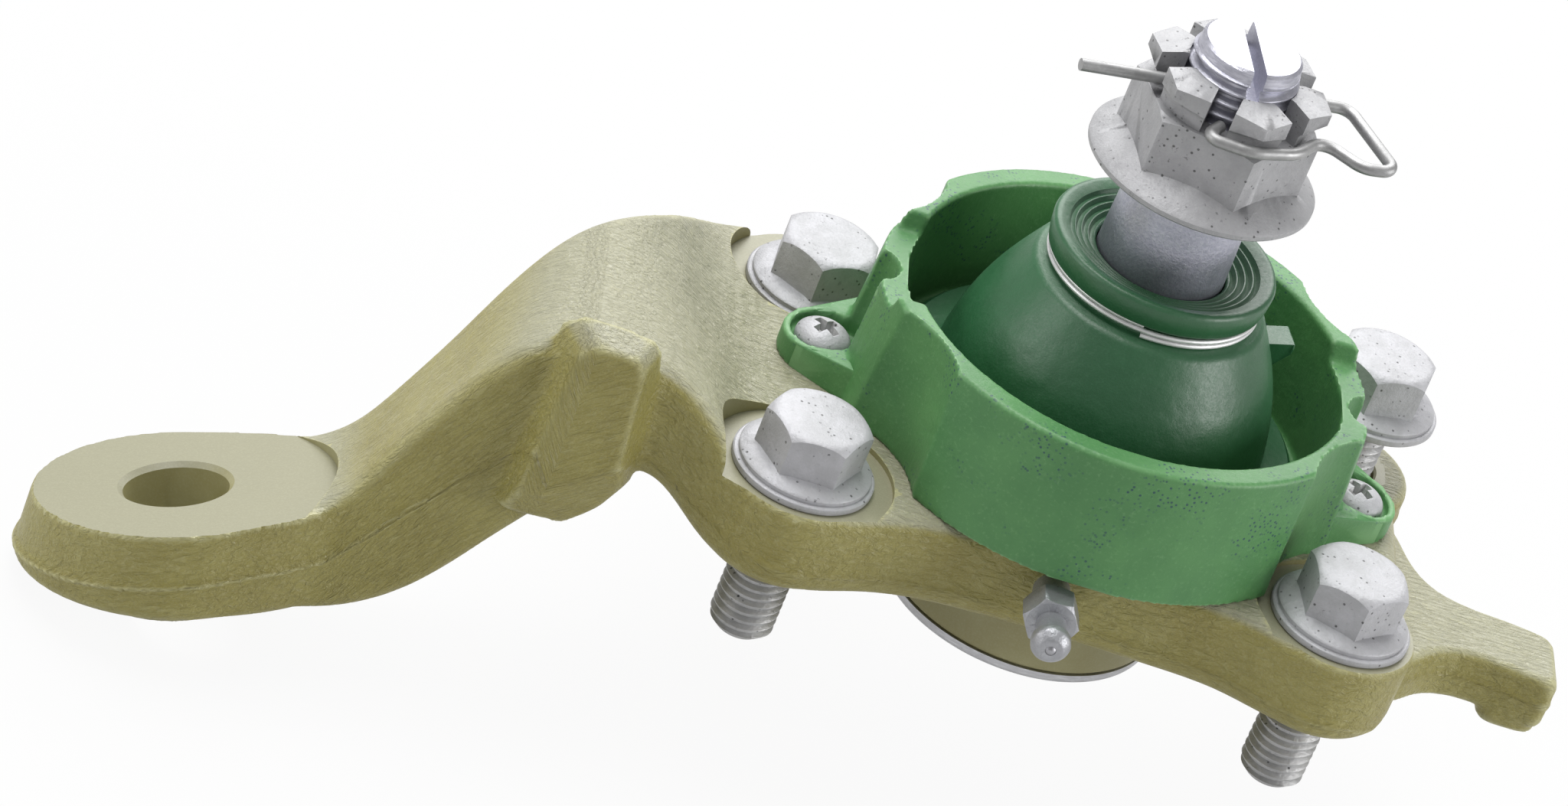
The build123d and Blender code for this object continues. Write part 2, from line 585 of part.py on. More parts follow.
# Dust boot: turned bell with a base flange, a groove for the clamp wire and a grooved lip
BOOT_FOOT_R = COLLAR_R + SEAT_RING_T + SEAT_CLEAR
BOOT_FOOT_TOP = BOOT_BASE_Z + SEAT_RING_H + SOFT_CLEAR
lip_steps = []
for step in range(LIP_STEPS):
    step_r = LIP_R - LIP_RIM - step * LIP_STEP_W
    step_z = LIP_TOP - 0.4 - (step + 1) * LIP_STEP
    lip_steps += [(step_r - 0.2, step_z), (step_r - LIP_STEP_W, step_z)]
with BuildPart() as dust_boot:
    with BuildSketch(Plane.XZ):
        with BuildLine():
            skirt = Polyline((BOOT_FOOT_R, BOOT_BASE_Z), (BOOT_BASE_R, BOOT_BASE_Z), (BOOT_BASE_R, BOOT_BASE_TOP - 0.8),
                             (BOOT_BASE_R - 0.8, BOOT_BASE_TOP), (BOOT_R, BOOT_BASE_TOP), (BOOT_R, BOOT_SHOULDER_Z))
            bell = Spline(skirt @ 1, (BOOT_R - 0.7, 32.0), (BOOT_R - 2.8, 39.5), (BOOT_R - 5.2, 45.0),
                          (GROOVE_R + 3.2, GROOVE_BOTTOM_Z - 1.5))
            lip = Polyline(bell @ 1, (GROOVE_R, GROOVE_BOTTOM_Z), (GROOVE_R, GROOVE_TOP_Z), (LIP_R, GROOVE_TOP_Z + 0.6),
                           (LIP_R, LIP_TOP - 0.6), (LIP_R - 0.6, LIP_TOP), (LIP_R - LIP_RIM, LIP_TOP - 0.4), *lip_steps,
                           (BOOT_BORE_R, lip_steps[-1][1] - 0.6), (BOOT_BORE_R, BOOT_BORE_BOTTOM))
            inside = Spline(lip @ 1, (GROOVE_R, GROOVE_BOTTOM_Z - 5.5), (BOOT_R - 5.3, 39.0), (BOOT_R - 3.1, 33.0),
                            (BOOT_FOOT_R, BOOT_FOOT_TOP))
            Line(inside @ 1, skirt @ 0)
        make_face()
    revolve(axis=Axis.Z)
    # Gusset on the side of the bell
    with BuildSketch(Plane.XZ.rotated((0, 0, BOOT_RIB_ANGLE)).offset(-BOOT_RIB_W / 2)):
        with BuildLine():
            Polyline((BOOT_R - 6, 38.5), (BOOT_R - 2, 39.0), (BOOT_R, 43.0), (BOOT_R, 46.5),
                     (BOOT_R - 6, 44.5), close=True)
        make_face()
    extrude(amount=BOOT_RIB_W)

dust_boot.part.label = "dust_boot"
export_step(dust_boot.part, "parts/dust_boot.step")

# Clamp wire in the boot's groove: two turns side by side
with BuildPart() as boot_clamp_wire:
    with BuildSketch(Plane.XZ):
        for turn_z in (GROOVE_BOTTOM_Z + CLAMP_WIRE_R, GROOVE_BOTTOM_Z + CLAMP_WIRE_R + CLAMP_PITCH):
            with Locations((GROOVE_R + CLAMP_WIRE_R + CLAMP_CLEAR, turn_z + CLAMP_CLEAR)):
                Circle(CLAMP_WIRE_R)
    revolve(axis=Axis.Z)

boot_clamp_wire.part.label = "boot_clamp_wire"
export_step(boot_clamp_wire.part, "parts/boot_clamp_wire.step")

# Shield ring: coned wall on a floor, lowered blocks with screw ears, and scallops for the bolts
with BuildPart() as shield_ring:
    with BuildSketch(Plane.XZ):
        with BuildLine():
            Polyline((BOOT_FLOOR_R, RING_SEAT_Z), (RING_R_BOTTOM, RING_SEAT_Z), (RING_R_TOP, RING_TOP - 0.5),
                     (RING_R_TOP - 0.5, RING_TOP), (RING_INNER_R + 0.5, RING_TOP), (RING_INNER_R, RING_TOP - 0.5),
                     (RING_INNER_R, RING_SEAT_Z + SHIELD_FLOOR_T), (BOOT_FLOOR_R, RING_SEAT_Z + SHIELD_FLOOR_T),
                     close=True)
        make_face()
    revolve(axis=Axis.Z)
    # Ears with a floor under the screw and a low wall round it
    for side_x in (-1, 1):
        with BuildSketch(Plane.XY.offset(RING_SEAT_Z)):
            with Locations((side_x * EAR_X, 0)):
                Circle(EAR_R)
            with Locations((side_x * (EAR_X - EAR_R / 2 - 1), 0)):
                Rectangle(EAR_R + 2, 2 * EAR_R + 3)
        extrude(amount=EAR_RIM)
        with BuildSketch(Plane.XY.offset(RING_SEAT_Z + EAR_FLOOR)):
            with Locations((side_x * EAR_X, 0)):
                Circle(EAR_R - EAR_WALL)
        extrude(amount=RING_H, mode=Mode.SUBTRACT)
        # The cup's rim falls away from the ring
        with BuildSketch(Plane.XZ):
            with BuildLine():
                Polyline((side_x * (EAR_X - EAR_R / 2), RING_SEAT_Z + EAR_RIM),
                         (side_x * (EAR_X + EAR_R + 1), RING_SEAT_Z + EAR_RIM_LOW),
                         (side_x * (EAR_X + EAR_R + 1), RING_SEAT_Z + EAR_RIM + 1),
                         (side_x * (EAR_X - EAR_R / 2), RING_SEAT_Z + EAR_RIM + 1), close=True)
            make_face()
        extrude(amount=2 * EAR_R, both=True, mode=Mode.SUBTRACT)
        # Screwdriver groove up the wall, and the lowered top beside it
        with BuildSketch(Plane.XY.offset(RING_SEAT_Z + EAR_FLOOR)):
            with Locations((side_x * GROOVE_CUT_X, 0)):
                Circle(GROOVE_CUT_R)
        extrude(amount=RING_H, mode=Mode.SUBTRACT)
        with BuildSketch(Plane.YZ.offset(side_x * RING_INNER_R * 0.85)):
            with BuildLine():
                block_half = RING_R_TOP * sin(radians(RING_BLOCK_HALF_ANGLE))
                Polyline((-block_half, RING_BLOCK_TOP), (block_half, RING_BLOCK_TOP), (block_half + 2, RING_TOP + 1),
                         (-block_half - 2, RING_TOP + 1), close=True)
            make_face()
        extrude(amount=side_x * RING_R_BOTTOM / 2, mode=Mode.SUBTRACT)
    # Scallops
    with BuildSketch(Plane.XY.offset(RING_SEAT_Z - 1)):
        for angle in SCALLOP_ANGLES:
            with Locations((SCALLOP_PITCH_R * cos(radians(angle)), SCALLOP_PITCH_R * sin(radians(angle)))):
                Circle(SCALLOP_R)
    extrude(amount=RING_H + 2, mode=Mode.SUBTRACT)
    with BuildSketch(Plane.XY.offset(RING_SEAT_Z - 1)):
        with Locations((-EAR_X, 0), (EAR_X, 0)):
            Circle(SCREW_R + SCREW_CLEAR)
    extrude(amount=EAR_FLOOR + 2, mode=Mode.SUBTRACT)

shield_ring.part.label = "shield_ring"
export_step(shield_ring.part, "parts/shield_ring.step")

# Shield screws
for side_name, side_x in (("left", -EAR_X), ("right", EAR_X)):
    with BuildPart() as shield_screw:
        with BuildSketch(Plane.XY.offset(RING_SEAT_Z + EAR_FLOOR)):
            with Locations((side_x, 0)):
                Circle(SCREW_HEAD_R)
        extrude(amount=SCREW_HEAD_H)
        fillet(shield_screw.faces().sort_by(Axis.Z)[-1].edges(), SCREW_HEAD_H / 2)
        with BuildSketch(Plane.XY.offset(RING_SEAT_Z + EAR_FLOOR - SCREW_LENGTH)):
            with Locations((side_x, 0)):
                Circle(SCREW_R)
        extrude(amount=SCREW_LENGTH)
        with BuildSketch(Plane.XY.offset(RING_SEAT_Z + EAR_FLOOR + SCREW_HEAD_H - RECESS_DEPTH)):
            with Locations((side_x, 0)):
                Rectangle(RECESS_W, 3 * RECESS_W)
                Rectangle(3 * RECESS_W, RECESS_W)
        extrude(amount=RECESS_DEPTH + 1, mode=Mode.SUBTRACT)
    shield_screw.part.label = f"shield_screw_{side_name}"
    export_step(shield_screw.part, f"parts/shield_screw_{side_name}.step")

# Mounting bolts
for name, x, y, seat_z, lift, boss_r, spot_r, turn in BOLTS:
    under = seat_z + lift
    with BuildPart() as bolt:
        with BuildSketch(Plane.XY.offset(under)):
            with Locations((x, y)):
                Circle(FLANGE_R)
        extrude(amount=FLANGE_RIM)
        with BuildSketch(Plane.XY.offset(under + FLANGE_RIM)):
            with Locations((x, y)):
                Circle(FLANGE_R)
        extrude(amount=FLANGE_RISE - FLANGE_RIM, taper=FLANGE_TAPER)
        with BuildSketch(Plane.XY.offset(under + FLANGE_RIM)):
            with Locations((x, y)):
                RegularPolygon(HEAD_ACROSS_FLATS / 2, 6, major_radius=False, rotation=turn)
        extrude(amount=HEAD_HEIGHT - FLANGE_RIM)
        with BuildSketch(Plane.XY.offset(under + HEAD_HEIGHT - HEAD_CHAMFER)):
            with Locations((x, y)):
                Circle(HEAD_ACROSS_FLATS)
                Circle(HEAD_ACROSS_FLATS / 2 / cos(radians(30)) - 0.1, mode=Mode.SUBTRACT)
        extrude(amount=HEAD_CHAMFER, taper=-40, mode=Mode.SUBTRACT)
        with BuildSketch(Plane.XY.offset(under - SHANK_LENGTH)):
            with Locations((x, y)):
                Circle(SHANK_R)
        extrude(amount=SHANK_LENGTH)
        chamfer(bolt.faces().sort_by(Axis.Z)[0].edges(), SHANK_CHAMFER)
    bolt.part.label = f"bolt_{name}"
    export_step(bolt.part, f"parts/bolt_{name}.step")

# Grease fitting with its check ball and spring
FITTING_TIP_Y = PLATE_FRONT + FITTING_DEPTH - FITTING_TOTAL
CHECK_Y = FITTING_TIP_Y + sqrt(CHECK_BALL_R ** 2 - TIP_HOLE_R ** 2) + CHECK_CLEAR
CAVITY_R = CHECK_BALL_R + CHECK_CLEAR
SEAT_CONE = (CAVITY_R - TIP_HOLE_R) * TIP_HOLE_R / sqrt(CHECK_BALL_R ** 2 - TIP_HOLE_R ** 2)
CAVITY_END_Y = CHECK_Y + CHECK_BALL_R + CHECK_TRAVEL + CHECK_SPRING_LENGTH
with BuildPart() as grease_fitting:
    with BuildSketch(Plane(origin=(FITTING_X, 0, FITTING_Z), x_dir=(0, 1, 0), z_dir=(1, 0, 0))):
        with BuildLine():
            Polyline((PLATE_FRONT + FITTING_DEPTH, DUCT_R), (PLATE_FRONT + FITTING_DEPTH, FITTING_THREAD_R),
                     (PLATE_FRONT - FITTING_STUB - FITTING_HEX_T, FITTING_THREAD_R),
                     (PLATE_FRONT - FITTING_STUB - FITTING_HEX_T, FITTING_NECK_R),
                     (FITTING_TIP_Y + 4.2, FITTING_NECK_R), (FITTING_TIP_Y + 3.2, FITTING_NOSE_R),
                     (FITTING_TIP_Y + 1.7, FITTING_NOSE_R), (FITTING_TIP_Y, FITTING_TIP_R), (FITTING_TIP_Y, TIP_HOLE_R),
                     (FITTING_TIP_Y + SEAT_CONE, CAVITY_R), (CAVITY_END_Y, CAVITY_R),
                     (CAVITY_END_Y, DUCT_R), close=True)
        make_face()
    revolve(axis=Axis((FITTING_X, 0, FITTING_Z), (0, 1, 0)))
    with BuildSketch(FITTING_PLANE.offset(FITTING_STUB)):
        RegularPolygon(FITTING_HEX_AF / 2, 6, major_radius=False)
        Circle(FITTING_THREAD_R - 0.5, mode=Mode.SUBTRACT)
    extrude(amount=FITTING_HEX_T)

grease_fitting.part.label = "grease_fitting"
export_step(grease_fitting.part, "parts/grease_fitting.step")

with BuildPart() as check_ball:
    with Locations((FITTING_X, CHECK_Y, FITTING_Z)):
        Sphere(CHECK_BALL_R)

check_ball.part.label = "check_ball"
export_step(check_ball.part, "parts/check_ball.step")

with BuildPart() as check_spring:
    with BuildLine() as coil:
        Helix(CHECK_SPRING_PITCH, CHECK_SPRING_LENGTH - 2 * CHECK_WIRE_R, CAVITY_R - CHECK_CLEAR - 2 * CHECK_WIRE_R,
              center=(FITTING_X, CAVITY_END_Y - CHECK_WIRE_R, FITTING_Z), direction=(0, -1, 0))
    with BuildSketch(Plane(origin=coil.line @ 0, z_dir=coil.line % 0)):
        RegularPolygon(CHECK_WIRE_R, 6)
    sweep(is_frenet=True)

check_spring.part.label = "check_spring"
export_step(check_spring.part, "parts/check_spring.step")
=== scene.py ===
"""A suspension ball joint on a forged steering arm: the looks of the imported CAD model."""

import json
import logging
from collections.abc import Callable, Sequence
from dataclasses import dataclass, field
from enum import Enum
from math import atan2, cos, degrees, pi, radians, sin, sqrt

import bmesh
import bpy
import numpy as np
from mathutils import Matrix, Vector

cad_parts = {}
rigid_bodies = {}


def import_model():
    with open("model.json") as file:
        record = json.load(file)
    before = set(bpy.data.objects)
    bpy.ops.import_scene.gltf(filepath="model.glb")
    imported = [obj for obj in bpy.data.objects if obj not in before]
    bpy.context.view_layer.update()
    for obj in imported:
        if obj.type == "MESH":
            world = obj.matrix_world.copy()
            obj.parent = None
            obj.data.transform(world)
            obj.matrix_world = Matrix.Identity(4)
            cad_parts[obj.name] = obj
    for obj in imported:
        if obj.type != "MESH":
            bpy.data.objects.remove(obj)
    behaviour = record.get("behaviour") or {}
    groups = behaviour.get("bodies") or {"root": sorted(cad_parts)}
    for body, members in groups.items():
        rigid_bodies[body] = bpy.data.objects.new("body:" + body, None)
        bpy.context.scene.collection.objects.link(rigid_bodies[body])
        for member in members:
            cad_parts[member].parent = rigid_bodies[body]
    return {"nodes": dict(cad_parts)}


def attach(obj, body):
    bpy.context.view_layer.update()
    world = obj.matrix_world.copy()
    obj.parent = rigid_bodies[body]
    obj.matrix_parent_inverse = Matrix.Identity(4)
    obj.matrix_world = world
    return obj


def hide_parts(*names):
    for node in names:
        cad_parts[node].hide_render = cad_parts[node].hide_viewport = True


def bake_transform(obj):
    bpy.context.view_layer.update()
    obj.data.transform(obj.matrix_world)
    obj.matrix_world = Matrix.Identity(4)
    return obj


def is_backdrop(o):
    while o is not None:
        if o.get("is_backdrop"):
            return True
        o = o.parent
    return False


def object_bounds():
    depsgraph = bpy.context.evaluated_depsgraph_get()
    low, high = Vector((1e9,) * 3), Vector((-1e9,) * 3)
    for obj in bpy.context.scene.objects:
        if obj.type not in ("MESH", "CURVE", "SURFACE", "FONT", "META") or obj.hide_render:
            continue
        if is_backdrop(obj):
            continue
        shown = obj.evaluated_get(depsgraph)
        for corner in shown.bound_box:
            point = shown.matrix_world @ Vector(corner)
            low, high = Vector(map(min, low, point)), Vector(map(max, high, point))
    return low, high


LOG = logging.getLogger("ball_joint")
MM = 0.001
BALL_Z = 8.0
EAR_X = 50.8
FITTING_PLACE = (-3.2, -40.5, 11.0)
FLOOR_GAP = 0.0002

Point = tuple[float, float]
Colour = tuple[float, float, float]
Shape = bmesh.types.BMesh
Edge = bmesh.types.BMEdge
Material = bpy.types.Material
Socket = bpy.types.NodeSocket


class Cut(Enum):
    """How one solid changes another."""

    REMOVE = "DIFFERENCE"
    ADD = "UNION"
    KEEP_COMMON = "INTERSECT"


class Body(Enum):
    """The bodies of the frame that the pieces ride on."""

    HOUSING = "housing"
    SEAT = "ball_seat"
    NECK = "boot_neck"
    STUD = "stud"


# ---------------------------------------------------------------- shapes, all in millimetres until they are finished


def curve_through(points: Sequence[Point], per_span: int = 10) -> np.ndarray:
    """Sample the natural cubic spline through a few points of an outline.

    Args:
        points: The points that the curve passes through.
        per_span: Samples from one point to the next.

    Returns:
        An array of points along the curve.
    """
    p = np.array(points, float)
    h = np.linalg.norm(np.diff(p, axis=0), axis=1)
    n = len(p)
    system = np.zeros((n, n))
    right = np.zeros((n, 2))
    system[0, 0] = system[-1, -1] = 1.0
    for i in range(1, n - 1):
        system[i, i - 1 : i + 2] = h[i - 1], 2 * (h[i - 1] + h[i]), h[i]
        right[i] = 6 * ((p[i + 1] - p[i]) / h[i] - (p[i] - p[i - 1]) / h[i - 1])
    bend = np.linalg.solve(system, right)
    samples = []
    for i in range(n - 1):
        for u in np.linspace(0, h[i], per_span, endpoint=False):
            b = h[i] - u
            samples.append(
                (bend[i] * b**3 + bend[i + 1] * u**3) / (6 * h[i])
                + (p[i] / h[i] - bend[i] * h[i] / 6) * b
                + (p[i + 1] / h[i] - bend[i + 1] * h[i] / 6) * u
            )
    samples.append(p[-1])
    return np.array(samples)


def arc(centre: Point, radius: float, start: float, end: float, steps: int) -> list[Point]:
    """Points on an arc.

    Args:
        centre: The middle of the arc.
        radius: Its radius.
        start: First angle in degrees.
        end: Last angle in degrees.
        steps: Number of equal steps.

    Returns:
        The points, the first and the last included.
    """
    angles = (radians(start + (end - start) * i / steps) for i in range(steps + 1))
    return [(centre[0] + radius * cos(a), centre[1] + radius * sin(a)) for a in angles]


def tidy(bm: Shape, gap: float = 1e-4) -> Shape:
    """Merge doubles and turn the faces outwards."""
    bmesh.ops.remove_doubles(bm, verts=bm.verts, dist=gap)
    bmesh.ops.recalc_face_normals(bm, faces=bm.faces)
    return bm


def turned(profile: Sequence[Point], steps: int = 96, closed: bool = False) -> Shape:
    """Spin a profile of radius and height about Z.

    Args:
        profile: Points of (radius, z). An open profile starts and ends on the axis.
        steps: Steps of the full turn.
        closed: True for a ring, whose last point joins the first.

    Returns:
        The closed solid.
    """
    bm = bmesh.new()
    verts = [bm.verts.new((r, 0, z)) for r, z in profile]
    pairs = list(zip(verts, verts[1:]))
    if closed:
        pairs.append((verts[-1], verts[0]))
    edges = [bm.edges.new(pair) for pair in pairs]
    bmesh.ops.spin(
        bm, geom=verts + edges, cent=(0, 0, 0), axis=(0, 0, 1), dvec=(0, 0, 0), angle=2 * pi, steps=steps,
        use_merge=True,
    )
    return tidy(bm)


def prism(outline: Sequence[Sequence[float]], low: float, high: float) -> Shape:
    """Extrude a closed outline of X and Y from one height to another."""
    bm = bmesh.new()
    face = bm.faces.new([bm.verts.new((p[0], p[1], low)) for p in outline])
    grown = bmesh.ops.extrude_face_region(bm, geom=[face])
    top = [v for v in grown["geom"] if isinstance(v, bmesh.types.BMVert)]
    bmesh.ops.translate(bm, verts=top, vec=(0, 0, high - low))
    bmesh.ops.recalc_face_normals(bm, faces=bm.faces)
    return bm


def cylinder(radius: float, low: float, high: float, steps: int) -> Shape:
    """An upright cylinder on the Z axis."""
    return turned([(0, low), (radius, low), (radius, high), (0, high)], steps)


def tube(inner: float, outer: float, low: float, high: float, steps: int) -> Shape:
    """An upright tube on the Z axis."""
    return turned([(inner, low), (outer, low), (outer, high), (inner, high)], steps, True)


def box(half_x: float, half_y: float, low: float, high: float) -> Shape:
    """A box centred on the Z axis."""
    return prism([(-half_x, -half_y), (half_x, -half_y), (half_x, half_y), (-half_x, half_y)], low, high)


def corner_radius(across_flats: float) -> float:
    """Radius of the corners of a hexagon."""
    return across_flats / 2 / cos(radians(30))


def hexagon(across_flats: float, turn: float) -> list[Point]:
    """Corners of a hexagon, the first at an angle of turn degrees."""
    return arc((0, 0), corner_radius(across_flats), turn, turn + 300, 5)


def bevel(bm: Shape, edges: list[Edge], radius: float, segments: int) -> None:
    """Round some edges into an arc."""
    bmesh.ops.bevel(
        bm, geom=edges, offset=radius, offset_type="OFFSET", segments=segments, profile=0.5, affect="EDGES",
        clamp_overlap=True, material=-1,
    )


def round_edges(bm: Shape, pick: Callable[[Edge], bool], radius: float, segments: int = 4) -> None:
    """Round the edges that a test picks."""
    bevel(bm, [edge for edge in bm.edges if pick(edge)], radius, segments)


def on_level(z: float) -> Callable[[Edge], bool]:
    """A test for edges that lie in a level plane."""
    return lambda edge: all(abs(v.co.z - z) < 1e-3 for v in edge.verts)


def is_upright(edge: Edge) -> bool:
    """Whether an edge of a prism joins its two levels."""
    return abs(edge.verts[0].co.z - edge.verts[1].co.z) > 1


def sliced(bm: Shape, point: Sequence[float], outwards: Sequence[float]) -> list[Edge]:
    """Cut off what lies beyond a plane, close the cut and return its rim."""
    whole = bm.verts[:] + bm.edges[:] + bm.faces[:]
    cut = bmesh.ops.bisect_plane(bm, geom=whole, plane_co=point, plane_no=outwards, clear_outer=True)
    rim = [edge for edge in cut["geom_cut"] if isinstance(edge, Edge)]
    bmesh.ops.contextual_create(bm, geom=rim)
    return rim


def shift(x: float, y: float, z: float) -> Matrix:
    """The matrix of a move."""
    return Matrix.Translation((x, y, z))


def turn_by(angle: float, axis: str = "Z") -> Matrix:
    """The matrix of a turn by some degrees."""
    return Matrix.Rotation(radians(angle), 4, axis)


def placed(bm: Shape, matrix: Matrix) -> Shape:
    """Move a shape by a matrix."""
    bmesh.ops.transform(bm, matrix=matrix, verts=bm.verts)
    return bm


def gathered(*shapes: Shape) -> Shape:
    """Put several shapes into the first one, as separate shells."""
    first = shapes[0]
    for shape in shapes[1:]:
        mesh = bpy.data.meshes.new("shell")
        shape.to_mesh(mesh)
        shape.free()
        first.from_mesh(mesh)
        bpy.data.meshes.remove(mesh)
    return first


def vertex_rows(mesh: bpy.types.Mesh, name: str) -> np.ndarray:
    """A vector of every vertex, its co or its normal, one row each."""
    flat = np.empty(len(mesh.vertices) * 3)
    mesh.vertices.foreach_get(name, flat)
    return flat.reshape(-1, 3)


class Workpiece:
    """A shape on the bench: a Blender object in millimetres that modifiers work on until it is finished."""

    def __init__(self, name: str, bm: Shape, material: Material | None = None) -> None:
        """Start from a mesh.

        Args:
            name: Name of the piece.
            bm: Its mesh, which is used up.
            material: The material of its faces.
        """
        mesh = bpy.data.meshes.new(name)
        bm.to_mesh(mesh)
        bm.free()
        if material:
            mesh.materials.append(material)
        self.object = bpy.data.objects.new(name, mesh)
        bpy.context.scene.collection.objects.link(self.object)

    def modify(self, kind: str, **values: object) -> "Workpiece":
        """Add a modifier with these values and bake it into the mesh."""
        modifier = self.object.modifiers.new("step", kind)
        for key, value in values.items():
            setattr(modifier, key, value)
        graph = bpy.context.evaluated_depsgraph_get()
        baked = bpy.data.meshes.new_from_object(
            self.object.evaluated_get(graph), preserve_all_data_layers=True, depsgraph=graph,
        )
        old = self.object.data
        self.object.modifiers.clear()
        self.object.data = baked
        bpy.data.meshes.remove(old)
        return self

    def combine(self, cut: Cut, tool: Shape, material: Material | None = None, solver: str = "EXACT") -> "Workpiece":
        """Join or cut with another solid.

        Args:
            cut: What the tool does to the piece.
            tool: The other solid, which is used up.
            material: The material that the tool leaves on its faces.
            solver: Blender's boolean solver.

        Returns:
            The piece itself.
        """
        other = Workpiece("tool", tool, material)
        self.modify("BOOLEAN", operation=cut.value, object=other.object, solver=solver, material_mode="TRANSFER")
        other.discard()
        return self

    def discard(self) -> None:
        """Take the shape off the bench."""
        mesh = self.object.data
        bpy.data.objects.remove(self.object)
        bpy.data.meshes.remove(mesh)

    def into_shape(self) -> Shape:
        """Take the shape off the bench and return its mesh."""
        shape = bmesh.new()
        shape.from_mesh(self.object.data)
        self.discard()
        return shape

    def repaint(self, material: Material) -> None:
        """Give every face one material."""
        self.object.data.materials.clear()
        self.object.data.materials.append(material)

    def edit(self, change: Callable[[Shape], None]) -> "Workpiece":
        """Run a change on the mesh through bmesh."""
        bm = bmesh.new()
        bm.from_mesh(self.object.data)
        change(bm)
        bm.to_mesh(self.object.data)
        bm.free()
        return self

    def finish(self, crease: float = 32.0) -> bpy.types.Object:
        """Scale to metres, shade smooth with sharp edges past an angle, and hand over the object."""
        limit = radians(crease)

        def shade(bm: Shape) -> None:
            bmesh.ops.scale(bm, vec=(MM, MM, MM), verts=bm.verts)
            for face in bm.faces:
                face.smooth = True
            for edge in bm.edges:
                pair = edge.link_faces
                seam = len(pair) == 2 and pair[0].material_index != pair[1].material_index
                edge.smooth = not seam and not (len(pair) == 2 and edge.calc_face_angle(0.0) > limit)

        self.edit(shade)
        for other in bpy.data.objects:
            if other is not self.object and other.data is self.object.data:
                raise ValueError("a finished mesh is shared")
        return self.object


def report(piece: bpy.types.Object, body: Body | str, slot: str, *nodes: str) -> bpy.types.Object:
    """Hand a finished piece to the frame and say so.

    Args:
        piece: The finished object.
        body: The body that it rides on.
        slot: A material slot of the record; not used.
        nodes: The CAD nodes that it stands for.

    Returns:
        The piece.
    """
    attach(piece, body.value if isinstance(body, Body) else body)
    if nodes:
        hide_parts(*nodes)
    LOG.info("%s: %d faces on %s", piece.name, len(piece.data.polygons), body)
    return piece


# ---------------------------------------------------------------- finishes


